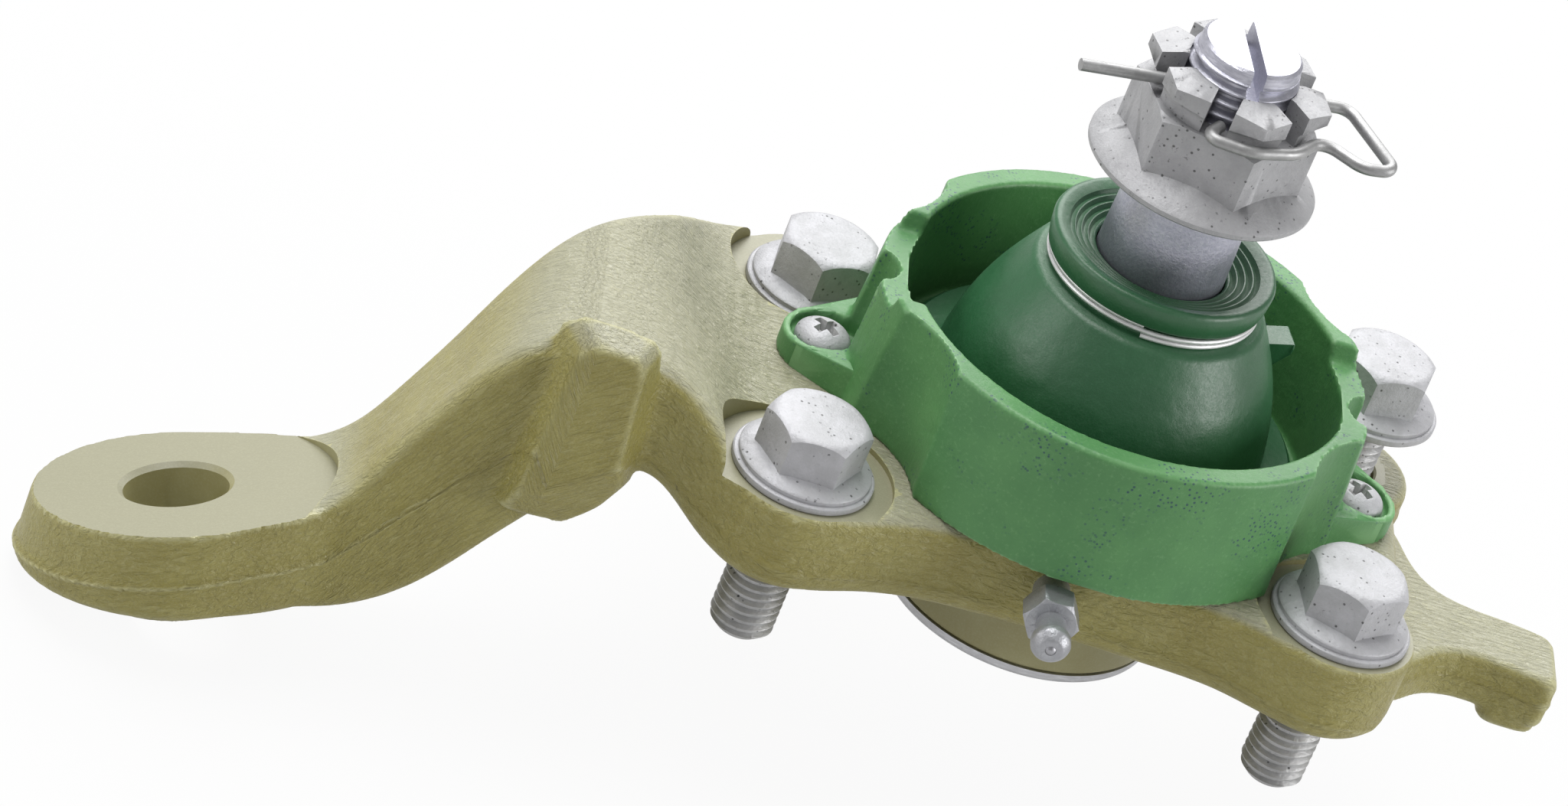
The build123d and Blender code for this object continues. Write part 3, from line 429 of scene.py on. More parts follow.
class Recipe:
    """A material under construction: a Principled shader with short calls for the nodes that the finishes share."""

    def __init__(self, name: str) -> None:
        """Start an empty material with one Principled shader."""
        self.material = bpy.data.materials.new(name)
        self.material.use_nodes = True
        self.tree = self.material.node_tree
        self.tree.nodes.clear()
        self.shader = self.tree.nodes.new("ShaderNodeBsdfPrincipled")
        output = self.tree.nodes.new("ShaderNodeOutputMaterial")
        self.tree.links.new(self.shader.outputs["BSDF"], output.inputs["Surface"])
        self.place = self.tree.nodes.new("ShaderNodeTexCoord").outputs["Object"]

    def link(self, source: Socket, target: Socket) -> None:
        """Join two sockets."""
        self.tree.links.new(source, target)

    def attribute(self, name: str) -> Socket:
        """The vector of a named attribute of the mesh."""
        node = self.tree.nodes.new("ShaderNodeAttribute")
        node.attribute_name = name
        return node.outputs["Vector"]

    def edges(self) -> Socket:
        """How far the surface bulges: 0.5 where flat, more on outer edges and less in corners."""
        return self.tree.nodes.new("ShaderNodeNewGeometry").outputs["Pointiness"]

    def upward(self) -> Socket:
        """How far the surface faces up, from the object's own normal."""
        coords = self.tree.nodes.new("ShaderNodeTexCoord")
        return self.remap(self.part(coords.outputs["Normal"], "Z"), 0.35, 0.8)

    def part(self, vector: Socket, axis: str) -> Socket:
        """One component of a vector."""
        node = self.tree.nodes.new("ShaderNodeSeparateXYZ")
        self.link(vector, node.inputs[0])
        return node.outputs[axis]

    def stretched(self, vector: Socket, scale: Sequence[float]) -> Socket:
        """A vector scaled along each axis."""
        node = self.tree.nodes.new("ShaderNodeMapping")
        node.inputs["Scale"].default_value = scale
        self.link(vector, node.inputs["Vector"])
        return node.outputs["Vector"]

    def noise(
        self, scale: float, detail: float = 3.0, roughness: float = 0.55, vector: Socket | None = None,
        warp: float = 0.0,
    ) -> Socket:
        """Noise between 0 and 1 whose grains are about 1 / scale metres wide."""
        node = self.tree.nodes.new("ShaderNodeTexNoise")
        node.inputs["Scale"].default_value = scale
        node.inputs["Detail"].default_value = detail
        node.inputs["Roughness"].default_value = roughness
        node.inputs["Distortion"].default_value = warp
        self.link(vector or self.place, node.inputs["Vector"])
        return node.outputs["Fac"]

    def cells(self, scale: float) -> Socket:
        """Distance to the nearest of many scattered points."""
        node = self.tree.nodes.new("ShaderNodeTexVoronoi")
        node.inputs["Scale"].default_value = scale
        self.link(self.place, node.inputs["Vector"])
        return node.outputs["Distance"]

    def remap(self, value: Socket, low: float, high: float, to_low: float = 0.0, to_high: float = 1.0) -> Socket:
        """Map a span of values to another, clamped, with soft ends."""
        node = self.tree.nodes.new("ShaderNodeMapRange")
        node.interpolation_type = "SMOOTHSTEP"
        for socket, number in zip(list(node.inputs)[1:5], (low, high, to_low, to_high)):
            socket.default_value = number
        self.link(value, node.inputs[0])
        return node.outputs[0]

    def calc(self, operation: str, a: Socket | float, b: Socket | float = 0.0) -> Socket:
        """One step of arithmetic."""
        node = self.tree.nodes.new("ShaderNodeMath")
        node.operation = operation
        for socket, value in zip(node.inputs, (a, b)):
            if isinstance(value, (int, float)):
                socket.default_value = value
            else:
                self.link(value, socket)
        return node.outputs[0]

    def blend(self, factor: Socket, a: Socket | Colour, b: Socket | Colour) -> Socket:
        """A colour between a and b."""
        node = self.tree.nodes.new("ShaderNodeMix")
        node.data_type = "RGBA"
        self.link(factor, node.inputs["Factor"])
        for socket, value in zip([s for s in node.inputs if s.type == "RGBA"], (a, b)):
            if isinstance(value, tuple):
                socket.default_value = (*value, 1.0)
            else:
                self.link(value, socket)
        return next(s for s in node.outputs if s.type == "RGBA")

    def bump(self, height: Socket, depth: float, under: Socket | None = None) -> Socket:
        """A relief of some metres of depth, laid over another."""
        node = self.tree.nodes.new("ShaderNodeBump")
        node.inputs["Strength"].default_value = 1.0
        node.inputs["Distance"].default_value = depth
        self.link(height, node.inputs["Height"])
        if under:
            self.link(under, node.inputs["Normal"])
        return node.outputs["Normal"]

    def done(
        self, colour: Socket | Colour, roughness: Socket | float, normal: Socket | None = None, metallic: float = 0.0,
        specular: float = 0.5,
    ) -> Material:
        """Wire up the shader and hand over the material."""
        for name, value in (("Base Color", colour), ("Roughness", roughness)):
            if isinstance(value, tuple):
                self.shader.inputs[name].default_value = (*value, 1.0)
            elif isinstance(value, (int, float)):
                self.shader.inputs[name].default_value = value
            else:
                self.link(value, self.shader.inputs[name])
        self.shader.inputs["Metallic"].default_value = metallic
        self.shader.inputs["Specular IOR Level"].default_value = specular
        if normal:
            self.link(normal, self.shader.inputs["Normal"])
        return self.material


@dataclass(frozen=True)
class ForgedPaint:
    """Thin paint over the grain of a forging, or over a face that was machined first, with painted top light on
    up-facing surfaces; on the forging also painted highlights on outer edges and painted shade in corners.
    """

    name: str
    base: Colour
    # The light colour serves flecks, grain strokes and painted edge highlights; the deep colour serves darker tone,
    # the parting line and painted shade in corners.
    light: Colour
    deep_and_corner_shade: Colour
    # Colour of up-facing surfaces: painted top light, standing in for the lamps above.
    painted_top_light: Colour
    grain_depth: float
    machined: bool = False

    def make(self) -> Material:
        """Build the material."""
        r = Recipe(self.name)
        flow = r.attribute("flow")
        cloud = r.noise(70, 4, 0.6)
        colour = r.blend(r.remap(cloud, 0.3, 0.7), self.deep_and_corner_shade, self.base)
        # Painted top light: up-facing surfaces blend to their own colour, for how the lamps light the tops.
        colour = r.blend(r.upward(), colour, self.painted_top_light)
        fleck = r.noise(2600, 2, 0.6)
        colour = r.blend(r.remap(fleck, 0.42, 0.75, 0.0, 0.22), colour, self.light)
        if self.machined:
            normal = r.bump(r.noise(900, 2, 0.5), self.grain_depth)
            return r.done(colour, r.remap(cloud, 0.2, 0.8, 0.4, 0.48), normal, specular=0.6)
        strokes = r.noise(1.0, 3, 0.6, r.stretched(flow, (330, 1300, 900)), 0.9)
        hammer = r.noise(330, 3, 0.55)
        wave = r.noise(110, 2, 0.5)
        seam = r.calc("ABSOLUTE", r.part(flow, "Z"))
        line = r.remap(seam, 0.0004, 0.0014, 1.0, 0.0)
        colour = r.blend(r.remap(strokes, 0.52, 0.72, 0.0, 0.2), colour, self.light)
        colour = r.blend(r.calc("MULTIPLY", line, 0.55), colour, self.deep_and_corner_shade)
        # Painted highlight: outer edges are lightened to the light colour; painted shade: corners are darkened to the
        # deep colour.
        colour = r.blend(r.remap(r.edges(), 0.51, 0.545, 0.0, 0.75), colour, self.light)
        colour = r.blend(r.remap(r.edges(), 0.455, 0.49, 0.8, 0.0), colour, self.deep_and_corner_shade)
        normal = r.bump(wave, 0.0011)
        normal = r.bump(hammer, 0.00042, normal)
        normal = r.bump(strokes, self.grain_depth, normal)
        step = r.remap(r.part(flow, "Z"), -0.0008, 0.0004, 1.0, 0.0)
        normal = r.bump(step, 0.00035, normal)
        return r.done(colour, r.remap(hammer, 0.3, 0.7, 0.36, 0.46), normal, specular=0.6)


@dataclass(frozen=True)
class SatinPolymer:
    """Moulded plastic or rubber: a little mottled, with a fine grain and a few specks; the speckled kind also has
    pale outer edges, partly painted highlight.
    """

    name: str
    base: Colour
    shade: Colour
    pale: Colour
    roughness: float
    grain: float
    grain_depth: float
    # Turns on dark specks and pale outer edges; the edges are partly pale moulding edges and partly painted
    # highlight.
    specks_and_edge_highlight: bool = False
    specular: float = 0.5

    def make(self) -> Material:
        """Build the material."""
        r = Recipe(self.name)
        cloud = r.noise(60, 4, 0.6)
        colour = r.blend(r.remap(cloud, 0.3, 0.7), self.shade, self.base)
        grain = r.noise(self.grain, 3, 0.6)
        colour = r.blend(r.remap(grain, 0.5, 0.85, 0.0, 0.4), colour, self.pale)
        if self.specks_and_edge_highlight:
            dots = r.remap(r.cells(1150), 0.2, 0.36, 1.0, 0.0)
            patch = r.remap(r.noise(75, 3, 0.65), 0.5, 0.62)
            colour = r.blend(r.calc("MULTIPLY", r.calc("MULTIPLY", dots, patch), 0.85), colour, (0.012, 0.045, 0.075))
            # Pale outer edges: partly the pale moulding edges, partly painted highlight.
            colour = r.blend(r.remap(r.edges(), 0.515, 0.56, 0.0, 0.7), colour, self.pale)
        normal = r.bump(r.noise(240, 2, 0.5), 0.0002)
        normal = r.bump(grain, self.grain_depth, normal)
        return r.done(
            colour, r.remap(grain, 0.3, 0.7, self.roughness - 0.05, self.roughness + 0.06), normal,
            specular=self.specular,
        )


@dataclass(frozen=True)
class BareMetal:
    """Steel as it left the machine: satin, with fine scratches along or round the piece."""

    name: str
    base: Colour
    dark: Colour
    roughness: float
    stretch: tuple[float, float, float]
    scratch_depth: float = 0.00004
    metallic: float = 1.0
    blotch: float = 0.5
    grit: float = 0.00005

    def make(self) -> Material:
        """Build the material."""
        r = Recipe(self.name)
        scratch = r.noise(1.0, 4, 0.65, r.stretched(r.place, self.stretch), 0.3)
        cloud = r.noise(160, 5, 0.65)
        colour = r.blend(r.remap(scratch, 0.35, 0.7, 0.0, 0.6), self.dark, self.base)
        colour = r.blend(r.remap(cloud, 0.5, 0.75, 0.0, self.blotch), colour, self.dark)
        normal = r.bump(r.noise(1400, 3, 0.6), self.grit)
        normal = r.bump(scratch, self.scratch_depth, normal)
        return r.done(
            colour, r.remap(cloud, 0.25, 0.75, self.roughness - 0.07, self.roughness + 0.1), normal,
            metallic=self.metallic,
        )


@dataclass(frozen=True)
class FlakeCoating:
    """Zinc flake coating: pale grey, slightly rough, with dark specks where it is thin."""

    name: str
    base: Colour
    dark: Colour
    speck: Colour
    roughness: float = 0.5
    metallic: float = 0.55
    speck_share: float = 0.58

    def make(self) -> Material:
        """Build the material."""
        r = Recipe(self.name)
        cloud = r.noise(190, 5, 0.65)
        fine = r.noise(2200, 4, 0.7)
        colour = r.blend(r.remap(cloud, 0.35, 0.65, 0.0, 0.7), self.base, self.dark)
        colour = r.blend(r.remap(fine, 0.5, 0.7, 0.0, 0.35), colour, self.dark)
        pits = r.remap(r.cells(620), 0.1, 0.2, 1.0, 0.0)
        patch = r.remap(r.noise(260, 4, 0.7), self.speck_share - 0.12, self.speck_share, 0.0, 1.0)
        colour = r.blend(r.calc("MULTIPLY", pits, patch), colour, self.speck)
        scuff = r.calc(
            "MULTIPLY", r.remap(r.noise(700, 5, 0.75), 0.6, 0.68), r.remap(r.noise(120, 3, 0.6), 0.5, 0.6, 0.1, 0.8),
        )
        colour = r.blend(scuff, colour, self.speck)
        normal = r.bump(r.noise(700, 4, 0.65), 0.00016)
        normal = r.bump(fine, 0.00006, normal)
        return r.done(
            colour, r.remap(fine, 0.3, 0.7, self.roughness - 0.06, self.roughness + 0.08), normal,
            metallic=self.metallic,
        )


def made(finish: ForgedPaint | SatinPolymer | BareMetal | FlakeCoating) -> Material:
    """A field of the set below, whose material is made with the set."""
    return field(default_factory=finish.make)


@dataclass
class Finishes:
    """All the finishes of the object, made once."""

    # The paints' top colour is painted top light, and the forged paint's deep colour also serves as painted shade in
    # corners.
    paint: Material = made(ForgedPaint(
        "forged_paint", base=(0.29, 0.258, 0.068), light=(0.48, 0.46, 0.24), deep_and_corner_shade=(0.245, 0.212, 0.045),
        painted_top_light=(0.325, 0.318, 0.222), grain_depth=0.00065,
    ))
    machined: Material = made(ForgedPaint(
        "machined_paint", base=(0.34, 0.32, 0.16), light=(0.42, 0.4, 0.27), deep_and_corner_shade=(0.3, 0.275, 0.12),
        painted_top_light=(0.268, 0.26, 0.172), grain_depth=0.00003, machined=True,
    ))
    # The shield's pale colour also serves its outer edges, partly as painted highlight.
    shield: Material = made(SatinPolymer(
        "shield_plastic", base=(0.084, 0.245, 0.078), shade=(0.062, 0.2, 0.063), pale=(0.2, 0.4, 0.18),
        roughness=0.46, grain=1500, grain_depth=0.00005, specks_and_edge_highlight=True,
    ))
    rubber: Material = made(SatinPolymer(
        "boot_rubber", base=(0.023, 0.113, 0.043), shade=(0.015, 0.09, 0.032), pale=(0.048, 0.155, 0.078),
        roughness=0.42, grain=2400, grain_depth=0.00004, specular=0.75,
    ))
    stud: Material = made(BareMetal(
        "stud_steel", (0.56, 0.56, 0.62), (0.4, 0.4, 0.48), 0.38, (1500, 1500, 1500), 0.00006, 0.75,
    ))
    thread: Material = made(BareMetal(
        "stud_thread", (0.66, 0.66, 0.72), (0.4, 0.4, 0.46), 0.36, (350, 350, 1600), 0.00008, 0.8,
    ))
    nut: Material = made(
        FlakeCoating("nut_coating", (0.39, 0.39, 0.4), (0.32, 0.32, 0.33), (0.1, 0.1, 0.1), 0.5, 0.3, 0.54)
    )
    bolt: Material = made(
        FlakeCoating("bolt_coating", (0.45, 0.45, 0.47), (0.36, 0.36, 0.37), (0.1, 0.1, 0.1), 0.5, 0.25, 0.55)
    )
    shank: Material = made(
        FlakeCoating("shank_coating", (0.5, 0.5, 0.5), (0.36, 0.36, 0.36), (0.08, 0.08, 0.08), 0.45, 0.7, 0.55)
    )
    wire: Material = made(BareMetal(
        "drawn_wire", (0.42, 0.42, 0.42), (0.33, 0.33, 0.33), 0.46, (900, 900, 900), 0.000004, 0.8, 0.5, 0.000004,
    ))
    clamp: Material = made(BareMetal(
        "clamp_wire", (0.86, 0.86, 0.86), (0.74, 0.74, 0.74), 0.42, (300, 300, 300), 0.000001, 0.7, 0.2, 0.000001,
    ))
    fitting: Material = made(
        FlakeCoating("fitting_zinc", (0.42, 0.43, 0.45), (0.33, 0.33, 0.35), (0.16, 0.16, 0.18), 0.4, 0.7, 0.66)
    )
    cover: Material = made(
        BareMetal("cover_zinc", (0.7, 0.71, 0.73), (0.5, 0.5, 0.52), 0.35, (400, 400, 2400), 0.00003)
    )
    inner_steel: Material = made(
        BareMetal("inner_steel", (0.5, 0.5, 0.52), (0.34, 0.34, 0.36), 0.4, (400, 400, 2400))
    )
    spring: Material = made(BareMetal("oiled_spring", (0.3, 0.3, 0.32), (0.14, 0.14, 0.16), 0.35, (400, 400, 2400)))
    shell: Material = made(SatinPolymer(
        "bearing_shell", base=(0.72, 0.7, 0.62), shade=(0.66, 0.64, 0.56), pale=(0.78, 0.76, 0.7), roughness=0.5,
        grain=1800, grain_depth=0.00003,
    ))


# ---------------------------------------------------------------- the forging


@dataclass
class SteeringArm:
    """The forging: an S-shaped bar between a tilted eye and a plate with bosses, machined after it is forged."""

    finishes: Finishes
    plate_top: float = 18.0
    drum_r: float = 26.5
    drum_bottom: float = -16.0
    collar_r: float = 26.0
    collar_top: float = 26.5
    socket_r: float = 19.5
    mouth_r: float = 19.4
    ring_groove: tuple[float, float, float] = (-13.1, -12.1, 1.3)
    bolt_hole_r: float = 6.6
    low_lug: Point = (-5.0, 7.0)
    tab: tuple[float, float, float] = (-4.5, 6.5, -7.0)
    eye: Vector = field(default_factory=lambda: Vector((-153.8, -38.0, -22.0)))
    eye_axis: Vector = field(default_factory=lambda: Vector((-0.34, 0.19, 0.92)).normalized())
    eye_t: float = 16.5
    eye_face_r: float = 28.5
    eye_hole_r: Point = (9.35, 8.2)
    foot_r: float = 15.5
    foot_t: float = 3.5
    pad_r: Point = (23.8, 23.2)
    edge_r: float = 3.2
    shield_seat_r: float = 48.3
    ear_seat_r: float = 8.4
    screw_r: float = 2.52
    duct_r: Point = (3.32, 1.6)
    duct_depth: float = 7.0
    cut_height: float = 30.0
    voxel: float = 0.8
    bar_ends: Point = (-142.0, -54.0)
    bar_sections: int = 72
    flash_height: float = 0.55
    near: tuple[Point, ...] = (
        (-142, -56.0), (-134, -54.0), (-128, -50.6), (-122, -48.2), (-116, -46.4), (-104, -44.5), (-90, -43.0),
        (-80, -41.4), (-72, -42.2), (-64, -45.4), (-54, -49.8),
    )
    near_top: tuple[Point, ...] = (
        (-142, -15.0), (-134, -11.4), (-127.5, -6.8), (-121, 4.8), (-113.5, 18.0), (-106, 28.8), (-97, 34.2),
        (-88, 34.2), (-78, 31.2), (-71, 26.8), (-64, 21.0), (-58, 18.6), (-54, 17.8),
    )
    near_low: tuple[Point, ...] = (
        (-142, -32.8), (-134, -32.4), (-126, -32.6), (-116, -29.8), (-107, -22.2), (-99, -11.0), (-92, -1.0),
        (-85, 7.6), (-78, 9.4), (-70, 5.2), (-63, 1.2), (-54, 0.5),
    )
    far: tuple[Point, ...] = (
        (-142, -16.5), (-134, -15.5), (-128, -16.5), (-120, -17.0), (-110, -13.0), (-98, -3.0), (-91, 4.0),
        (-83, 15.6), (-78, 25.2), (-73.5, 32.6), (-67, 37.8), (-60, 40.2), (-54, 41.0),
    )
    far_top: tuple[Point, ...] = (
        (-142, -23.5), (-134, -19.2), (-127.5, -13.2), (-121, -1.8), (-114, 12.0), (-106, 26.0), (-99, 32.2),
        (-91, 33.4), (-83, 29.4), (-78, 24.4), (-73.5, 20.1), (-67, 17.6), (-60, 17.0), (-54, 17.0),
    )
    far_low: tuple[Point, ...] = (
        (-142, -36.0), (-134, -35.4), (-126, -34.4), (-116, -31.5), (-105, -20.0), (-94, -4.0), (-84, 6.5),
        (-75, 8.0), (-66, 3.0), (-54, 0.5),
    )
    bosses: tuple[tuple[float, float, float, float, float], ...] = (
        (-51.6, -35.6, 17.0, 14.8, 16.8), (48.5, -32.5, 17.0, 14.6, 16.0), (-51.0, 27.5, 14.0, 16.8, 17.2),
        (55.0, 35.4, 7.0, 13.6, 16.0),
    )

    def eye_matrix(self) -> Matrix:
        """The eye's own axes: X along the arm, Z out of its faced top."""
        z = self.eye_axis
        x = (Vector((1, 0, 0)) - z * z.x).normalized()
        y = z.cross(x)
        return Matrix.Translation(self.eye) @ Matrix((x, y, z)).transposed().to_4x4()

    def level(self, curve: np.ndarray, x: np.ndarray | float) -> np.ndarray | float:
        """The second coordinate of a sampled curve at x."""
        return np.interp(x, curve[:, 0], curve[:, 1])

    def bar(self) -> Shape:
        """The bar: four-sided sections bridged along it, twisted from the eye's tilt to level, with rounded edges."""
        curves = [
            curve_through(c) for c in (self.near, self.near_low, self.near_top, self.far, self.far_low, self.far_top)
        ]
        bm = bmesh.new()
        rings: list[list[Edge]] = []
        for x in np.linspace(*self.bar_ends, self.bar_sections):
            near, near_low, near_top, far, far_low, far_top = (self.level(c, x) for c in curves)
            verts = [
                bm.verts.new((x, y, z)) for y, z in (
                    (near, near_low), (far, far_low), (far, far_top), (near, near_top),
                )
            ]
            rings.append([bm.edges.new((verts[i], verts[(i + 1) % 4])) for i in range(4)])
        for a, b in zip(rings, rings[1:]):
            bmesh.ops.bridge_loops(bm, edges=a + b)
        for ends in (rings[0], rings[-1]):
            bmesh.ops.contextual_create(bm, geom=ends)
        bmesh.ops.recalc_face_normals(bm, faces=bm.faces)
        ring_edges = {edge for ring in rings for edge in ring}
        round_edges(bm, lambda edge: edge not in ring_edges, self.edge_r)
        return bm

    def eye_blank(self) -> Shape:
        """The eye's pad, forged with upright sides and cut along its tilt, and the foot below it."""
        long_r, short_r = self.pad_r
        nose = [(long_r * cos(radians(a)), short_r * sin(radians(a))) for a in range(90, 271, 6)]
        side = curve_through([(0, -short_r), (8, -22.1), (14, -19.2), (20, -16.2), (26, -12.0)], 5)[1:]
        pad = prism([(26, 19.0), (14, 22.6), *nose, *side], -50, 20)
        bmesh.ops.translate(pad, verts=pad.verts, vec=(self.eye.x, self.eye.y, 0))
        sliced(pad, self.eye + Vector((0, 0, 0.4)), self.eye_axis)
        rim = sliced(pad, self.eye + Vector((0, 0, -self.eye_t - 1.4)), Vector((0.21, -0.165, -1.0)).normalized())
        bmesh.ops.recalc_face_normals(pad, faces=pad.faces)
        bevel(pad, rim, 2.2, 4)
        low, high, r = -self.eye_t - self.foot_t, -self.eye_t + 2, self.foot_r
        foot = turned([(0, low), (r - 1, low), (r, low + 1), (r, high), (0, high)], 56)
        return gathered(pad, placed(foot, self.eye_matrix()))

    def plate_blank(self) -> Shape:
        """The plate, its bosses, the low lug and the stop tab."""
        front = curve_through(
            [
                (-52, -50.2), (-44, -48.6), (-36, -45.0), (-28, -42.2), (-18, -40.7), (20, -40.6), (31, -41.8),
                (39, -44.6), (47, -46.9),
            ],
            4,
        )
        outline = [
            (-60, -44), *front, (57, -42), (61, -26), (61, 13), (48, 24), (20, 41), (-51, 41), (-62, 20), (-62, -20),
        ]
        slab = prism(outline, 0, self.plate_top)
        round_edges(slab, lambda e: is_upright(e) and e.verts[0].co.y > -30, 6.0, 5)
        round_edges(slab, on_level(0), 4.0, 4)
        round_edges(slab, on_level(self.plate_top), 3.2, 4)
        shapes = [slab]
        rise = self.plate_top
        for x, y, _, boss_r, _ in self.bosses[:3]:
            boss = turned(
                [(0, 0), *arc((boss_r - 4, 4), 4, -90, 0, 4), *arc((boss_r - 2, rise - 2), 2, 0, 90, 3), (0, rise)],
                64,
            )
            shapes.append(placed(boss, shift(x, y, 0)))
        low, high = self.low_lug
        lug = prism([(20, 8), (20, 30), (44, 47), (62, 24), (61, 0)], low, high)
        round_edges(lug, on_level(low), 3.0, 4)
        round_edges(lug, on_level(high), 1.2, 2)
        x, y, _, boss_r, _ = self.bosses[3]
        boss = turned(
            [(0, low), *arc((boss_r - 3, low + 3), 3, -90, 0, 4), (boss_r, high - 1), (boss_r - 1, high), (0, high)],
            64,
        )
        shapes += [lug, placed(boss, shift(x, y, 0))]
        bottom, top, end_bottom = self.tab
        back = curve_through([(44, 40), (66, 18), (68, 12), (72.7, 4.6), (79.5, 1.9), (88.4, 0.9), (94.3, -0.3)], 6)
        near = curve_through([(94.5, -15.6), (86, -14.0), (78.7, -13.6), (72.7, -15.8), (67, -21), (57, -24)], 6)
        tab = prism([*back, (96.0, -2.4), (96.0, -15.0), *near], bottom, top)
        round_edges(tab, on_level(top), 1.2, 2)
        round_edges(tab, on_level(bottom), 1.2, 2)
        block = prism([(84.5, -14.5), (96.0, -14.5), (96.0, -0.5), (84.5, -0.5)], end_bottom, bottom + 2)
        round_edges(block, is_upright, 3.0, 3)
        round_edges(block, on_level(end_bottom), 1.0, 2)
        return gathered(*shapes, tab, block)

    def stop_lug(self) -> Shape:
        """The wedge on the front of the arm, with a sloped left flank and a rounded top."""
        front, back = -48.4, -41.6
        lug = prism(
            [
                (-98.8, -1.3), (-91.0, -3.6), (-86.0, 2.2), (-82.8, 8.7), (-85.2, 34.5), (-87.6, 36.9), (-93.5, 37.3),
                (-96.6, 34.5),
            ],
            front, back,
        )
        for vert in lug.verts:
            if vert.co.z > back - 1:
                left = vert.co.x < -92
                vert.co.x += -5.0 if left else 3.0
                vert.co.y += 1.6 if vert.co.y > 20 else 0.0
        foot = prism(
            [(-103.8, -1.3), (-91.0, -3.6), (-83.0, 2.2), (-79.8, 8.7), (-82.2, 30.0), (-101.6, 30.0)], back - 0.1,
            -36.0,
        )
        swap = Matrix(((1, 0, 0, 0), (0, 0, 1, 0), (0, 1, 0, 0), (0, 0, 0, 1)))
        lug = placed(lug, swap)
        sliced(lug, (-84, front, 14.0), (0.27, -0.893, -0.36))
        round_edges(lug, lambda e: max(v.co.y for v in e.verts) < back - 1.5, 0.7, 2)
        return gathered(lug, placed(foot, swap))

    def drum(self) -> Shape:
        """The turned drum and the collar that carries the boot."""
        low, top, wide, narrow = self.drum_bottom, self.collar_top, self.drum_r, self.collar_r
        return turned(
            [
                (0, low), (wide - 0.8, low), (wide, low + 0.8), (wide, 9), (narrow, 9.4), (narrow, top - 0.6),
                (narrow - 0.6, top), (0, top),
            ],
            128,
        )

    def cutters(self) -> list[Shape]:
        """The machining: spot faces with bolt holes, the shield's seat, the knuckle's room and the eye."""
        spots = []
        hole_r, above = self.bolt_hole_r, self.cut_height
        for x, y, seat, _, spot_r in self.bosses:
            hole = [
                (0, -30), (hole_r, -30), (hole_r, seat - 0.4), (hole_r + 0.4, seat), (spot_r, seat),
                (spot_r, seat + 40), (0, seat + 40),
            ]
            spots.append(placed(turned(hole, 72), shift(x, y, 0)))
        top = self.plate_top
        seat = tube(self.collar_r, self.shield_seat_r, top, top + above, 128)
        ears = [placed(cylinder(self.ear_seat_r, top, top + above, 48), shift(x, 0, 0)) for x in (-EAR_X, EAR_X)]
        relief = tube(self.drum_r - 0.01, self.drum_r + 7, self.low_lug[0] - 1, 0, 96)
        low = -self.eye_t - self.foot_t
        wide, narrow = self.eye_hole_r
        face_r = self.eye_face_r
        face = turned([
            (0, low - 3), (narrow - 0.1, low - 3), (narrow - 0.05, low), (wide, -0.9), (wide + 0.9, 0), (face_r, 0),
            (face_r, above), (0, above),
        ], 96)
        screw_holes = [placed(cylinder(self.screw_r, 6, above, 24), shift(x, 0, 0)) for x in (-EAR_X, EAR_X)]
        mouth, bore, depth = *self.duct_r, self.duct_depth
        duct = turned([(0, -1), (mouth, -1), (mouth, depth), (bore, depth), (bore, above), (0, above)], 32)
        duct = placed(duct, shift(*FITTING_PLACE) @ turn_by(-90, "X"))
        eye = placed(face, self.eye_matrix())
        return [gathered(*spots), seat, *ears, relief, eye, gathered(*screw_holes), duct, self.bore()]

    def bore(self) -> Shape:
        """The socket bore from the cover's seat to the mouth."""
        low, high, r = self.drum_bottom - 1, self.collar_top + 1, self.socket_r
        groove_low, groove_high, groove_depth = self.ring_groove
        return turned(
            [
                (0, low), (r, low), (r, groove_low), (r + groove_depth, groove_low), (r + groove_depth, groove_high),
                (r, groove_high), *arc((0, BALL_Z), r, 0, 30, 8), (self.mouth_r, self.collar_top),
                (self.mouth_r, high), (0, high),
            ],
            96,
        )

    def parting(self, x: np.ndarray, y: np.ndarray) -> np.ndarray:
        """Height of the line where the halves of the forging die met."""
        top, low = curve_through(self.near_top), curve_through(self.near_low)
        knots = np.array([-134.0, -126, -120, -112, -105, -98, -94, -84, -78, -70, -62, -54, 55, 64, 110])
        share = np.array([0.57, 0.57, 0.55, 0.52, 0.5, 0.48])
        bar = self.level(top, knots[:6]) * (1 - share) + self.level(low, knots[:6]) * share
        heights = np.concatenate([bar, [6.5, 14.0, 13.5, 9.5, 6.5, 5.0, 4.5, 1.0, 1.0]])
        slope = self.eye_axis
        pad = self.eye.z - (slope.x * (x - self.eye.x) + slope.y * (y - self.eye.y)) / slope.z - 11.3
        near_eye = np.clip((-128 - x) / 10, 0, 1)
        return np.interp(x, knots, heights) * (1 - near_eye) + pad * near_eye

    def lay_flow(self, piece: bpy.types.Object) -> None:
        """Store where each point lies in the grain: length along it, width, and height from the parting line."""
        crest = curve_through(self.near_top)
        length = np.concatenate([[0.0], np.cumsum(np.hypot(*np.diff(crest, axis=0).T))])
        x, y, z = (vertex_rows(piece.data, "co") / MM).T
        start, end = self.bar_ends
        along = np.interp(x, crest[:, 0], length) + np.minimum(x - start, 0) + np.maximum(x - end, 0)
        flow = np.stack([along, y, z - self.parting(x, y)], 1) * MM
        layer = piece.data.attributes.new("flow", "FLOAT_VECTOR", "POINT")
        layer.data.foreach_set("vector", flow.astype(np.float32).ravel())

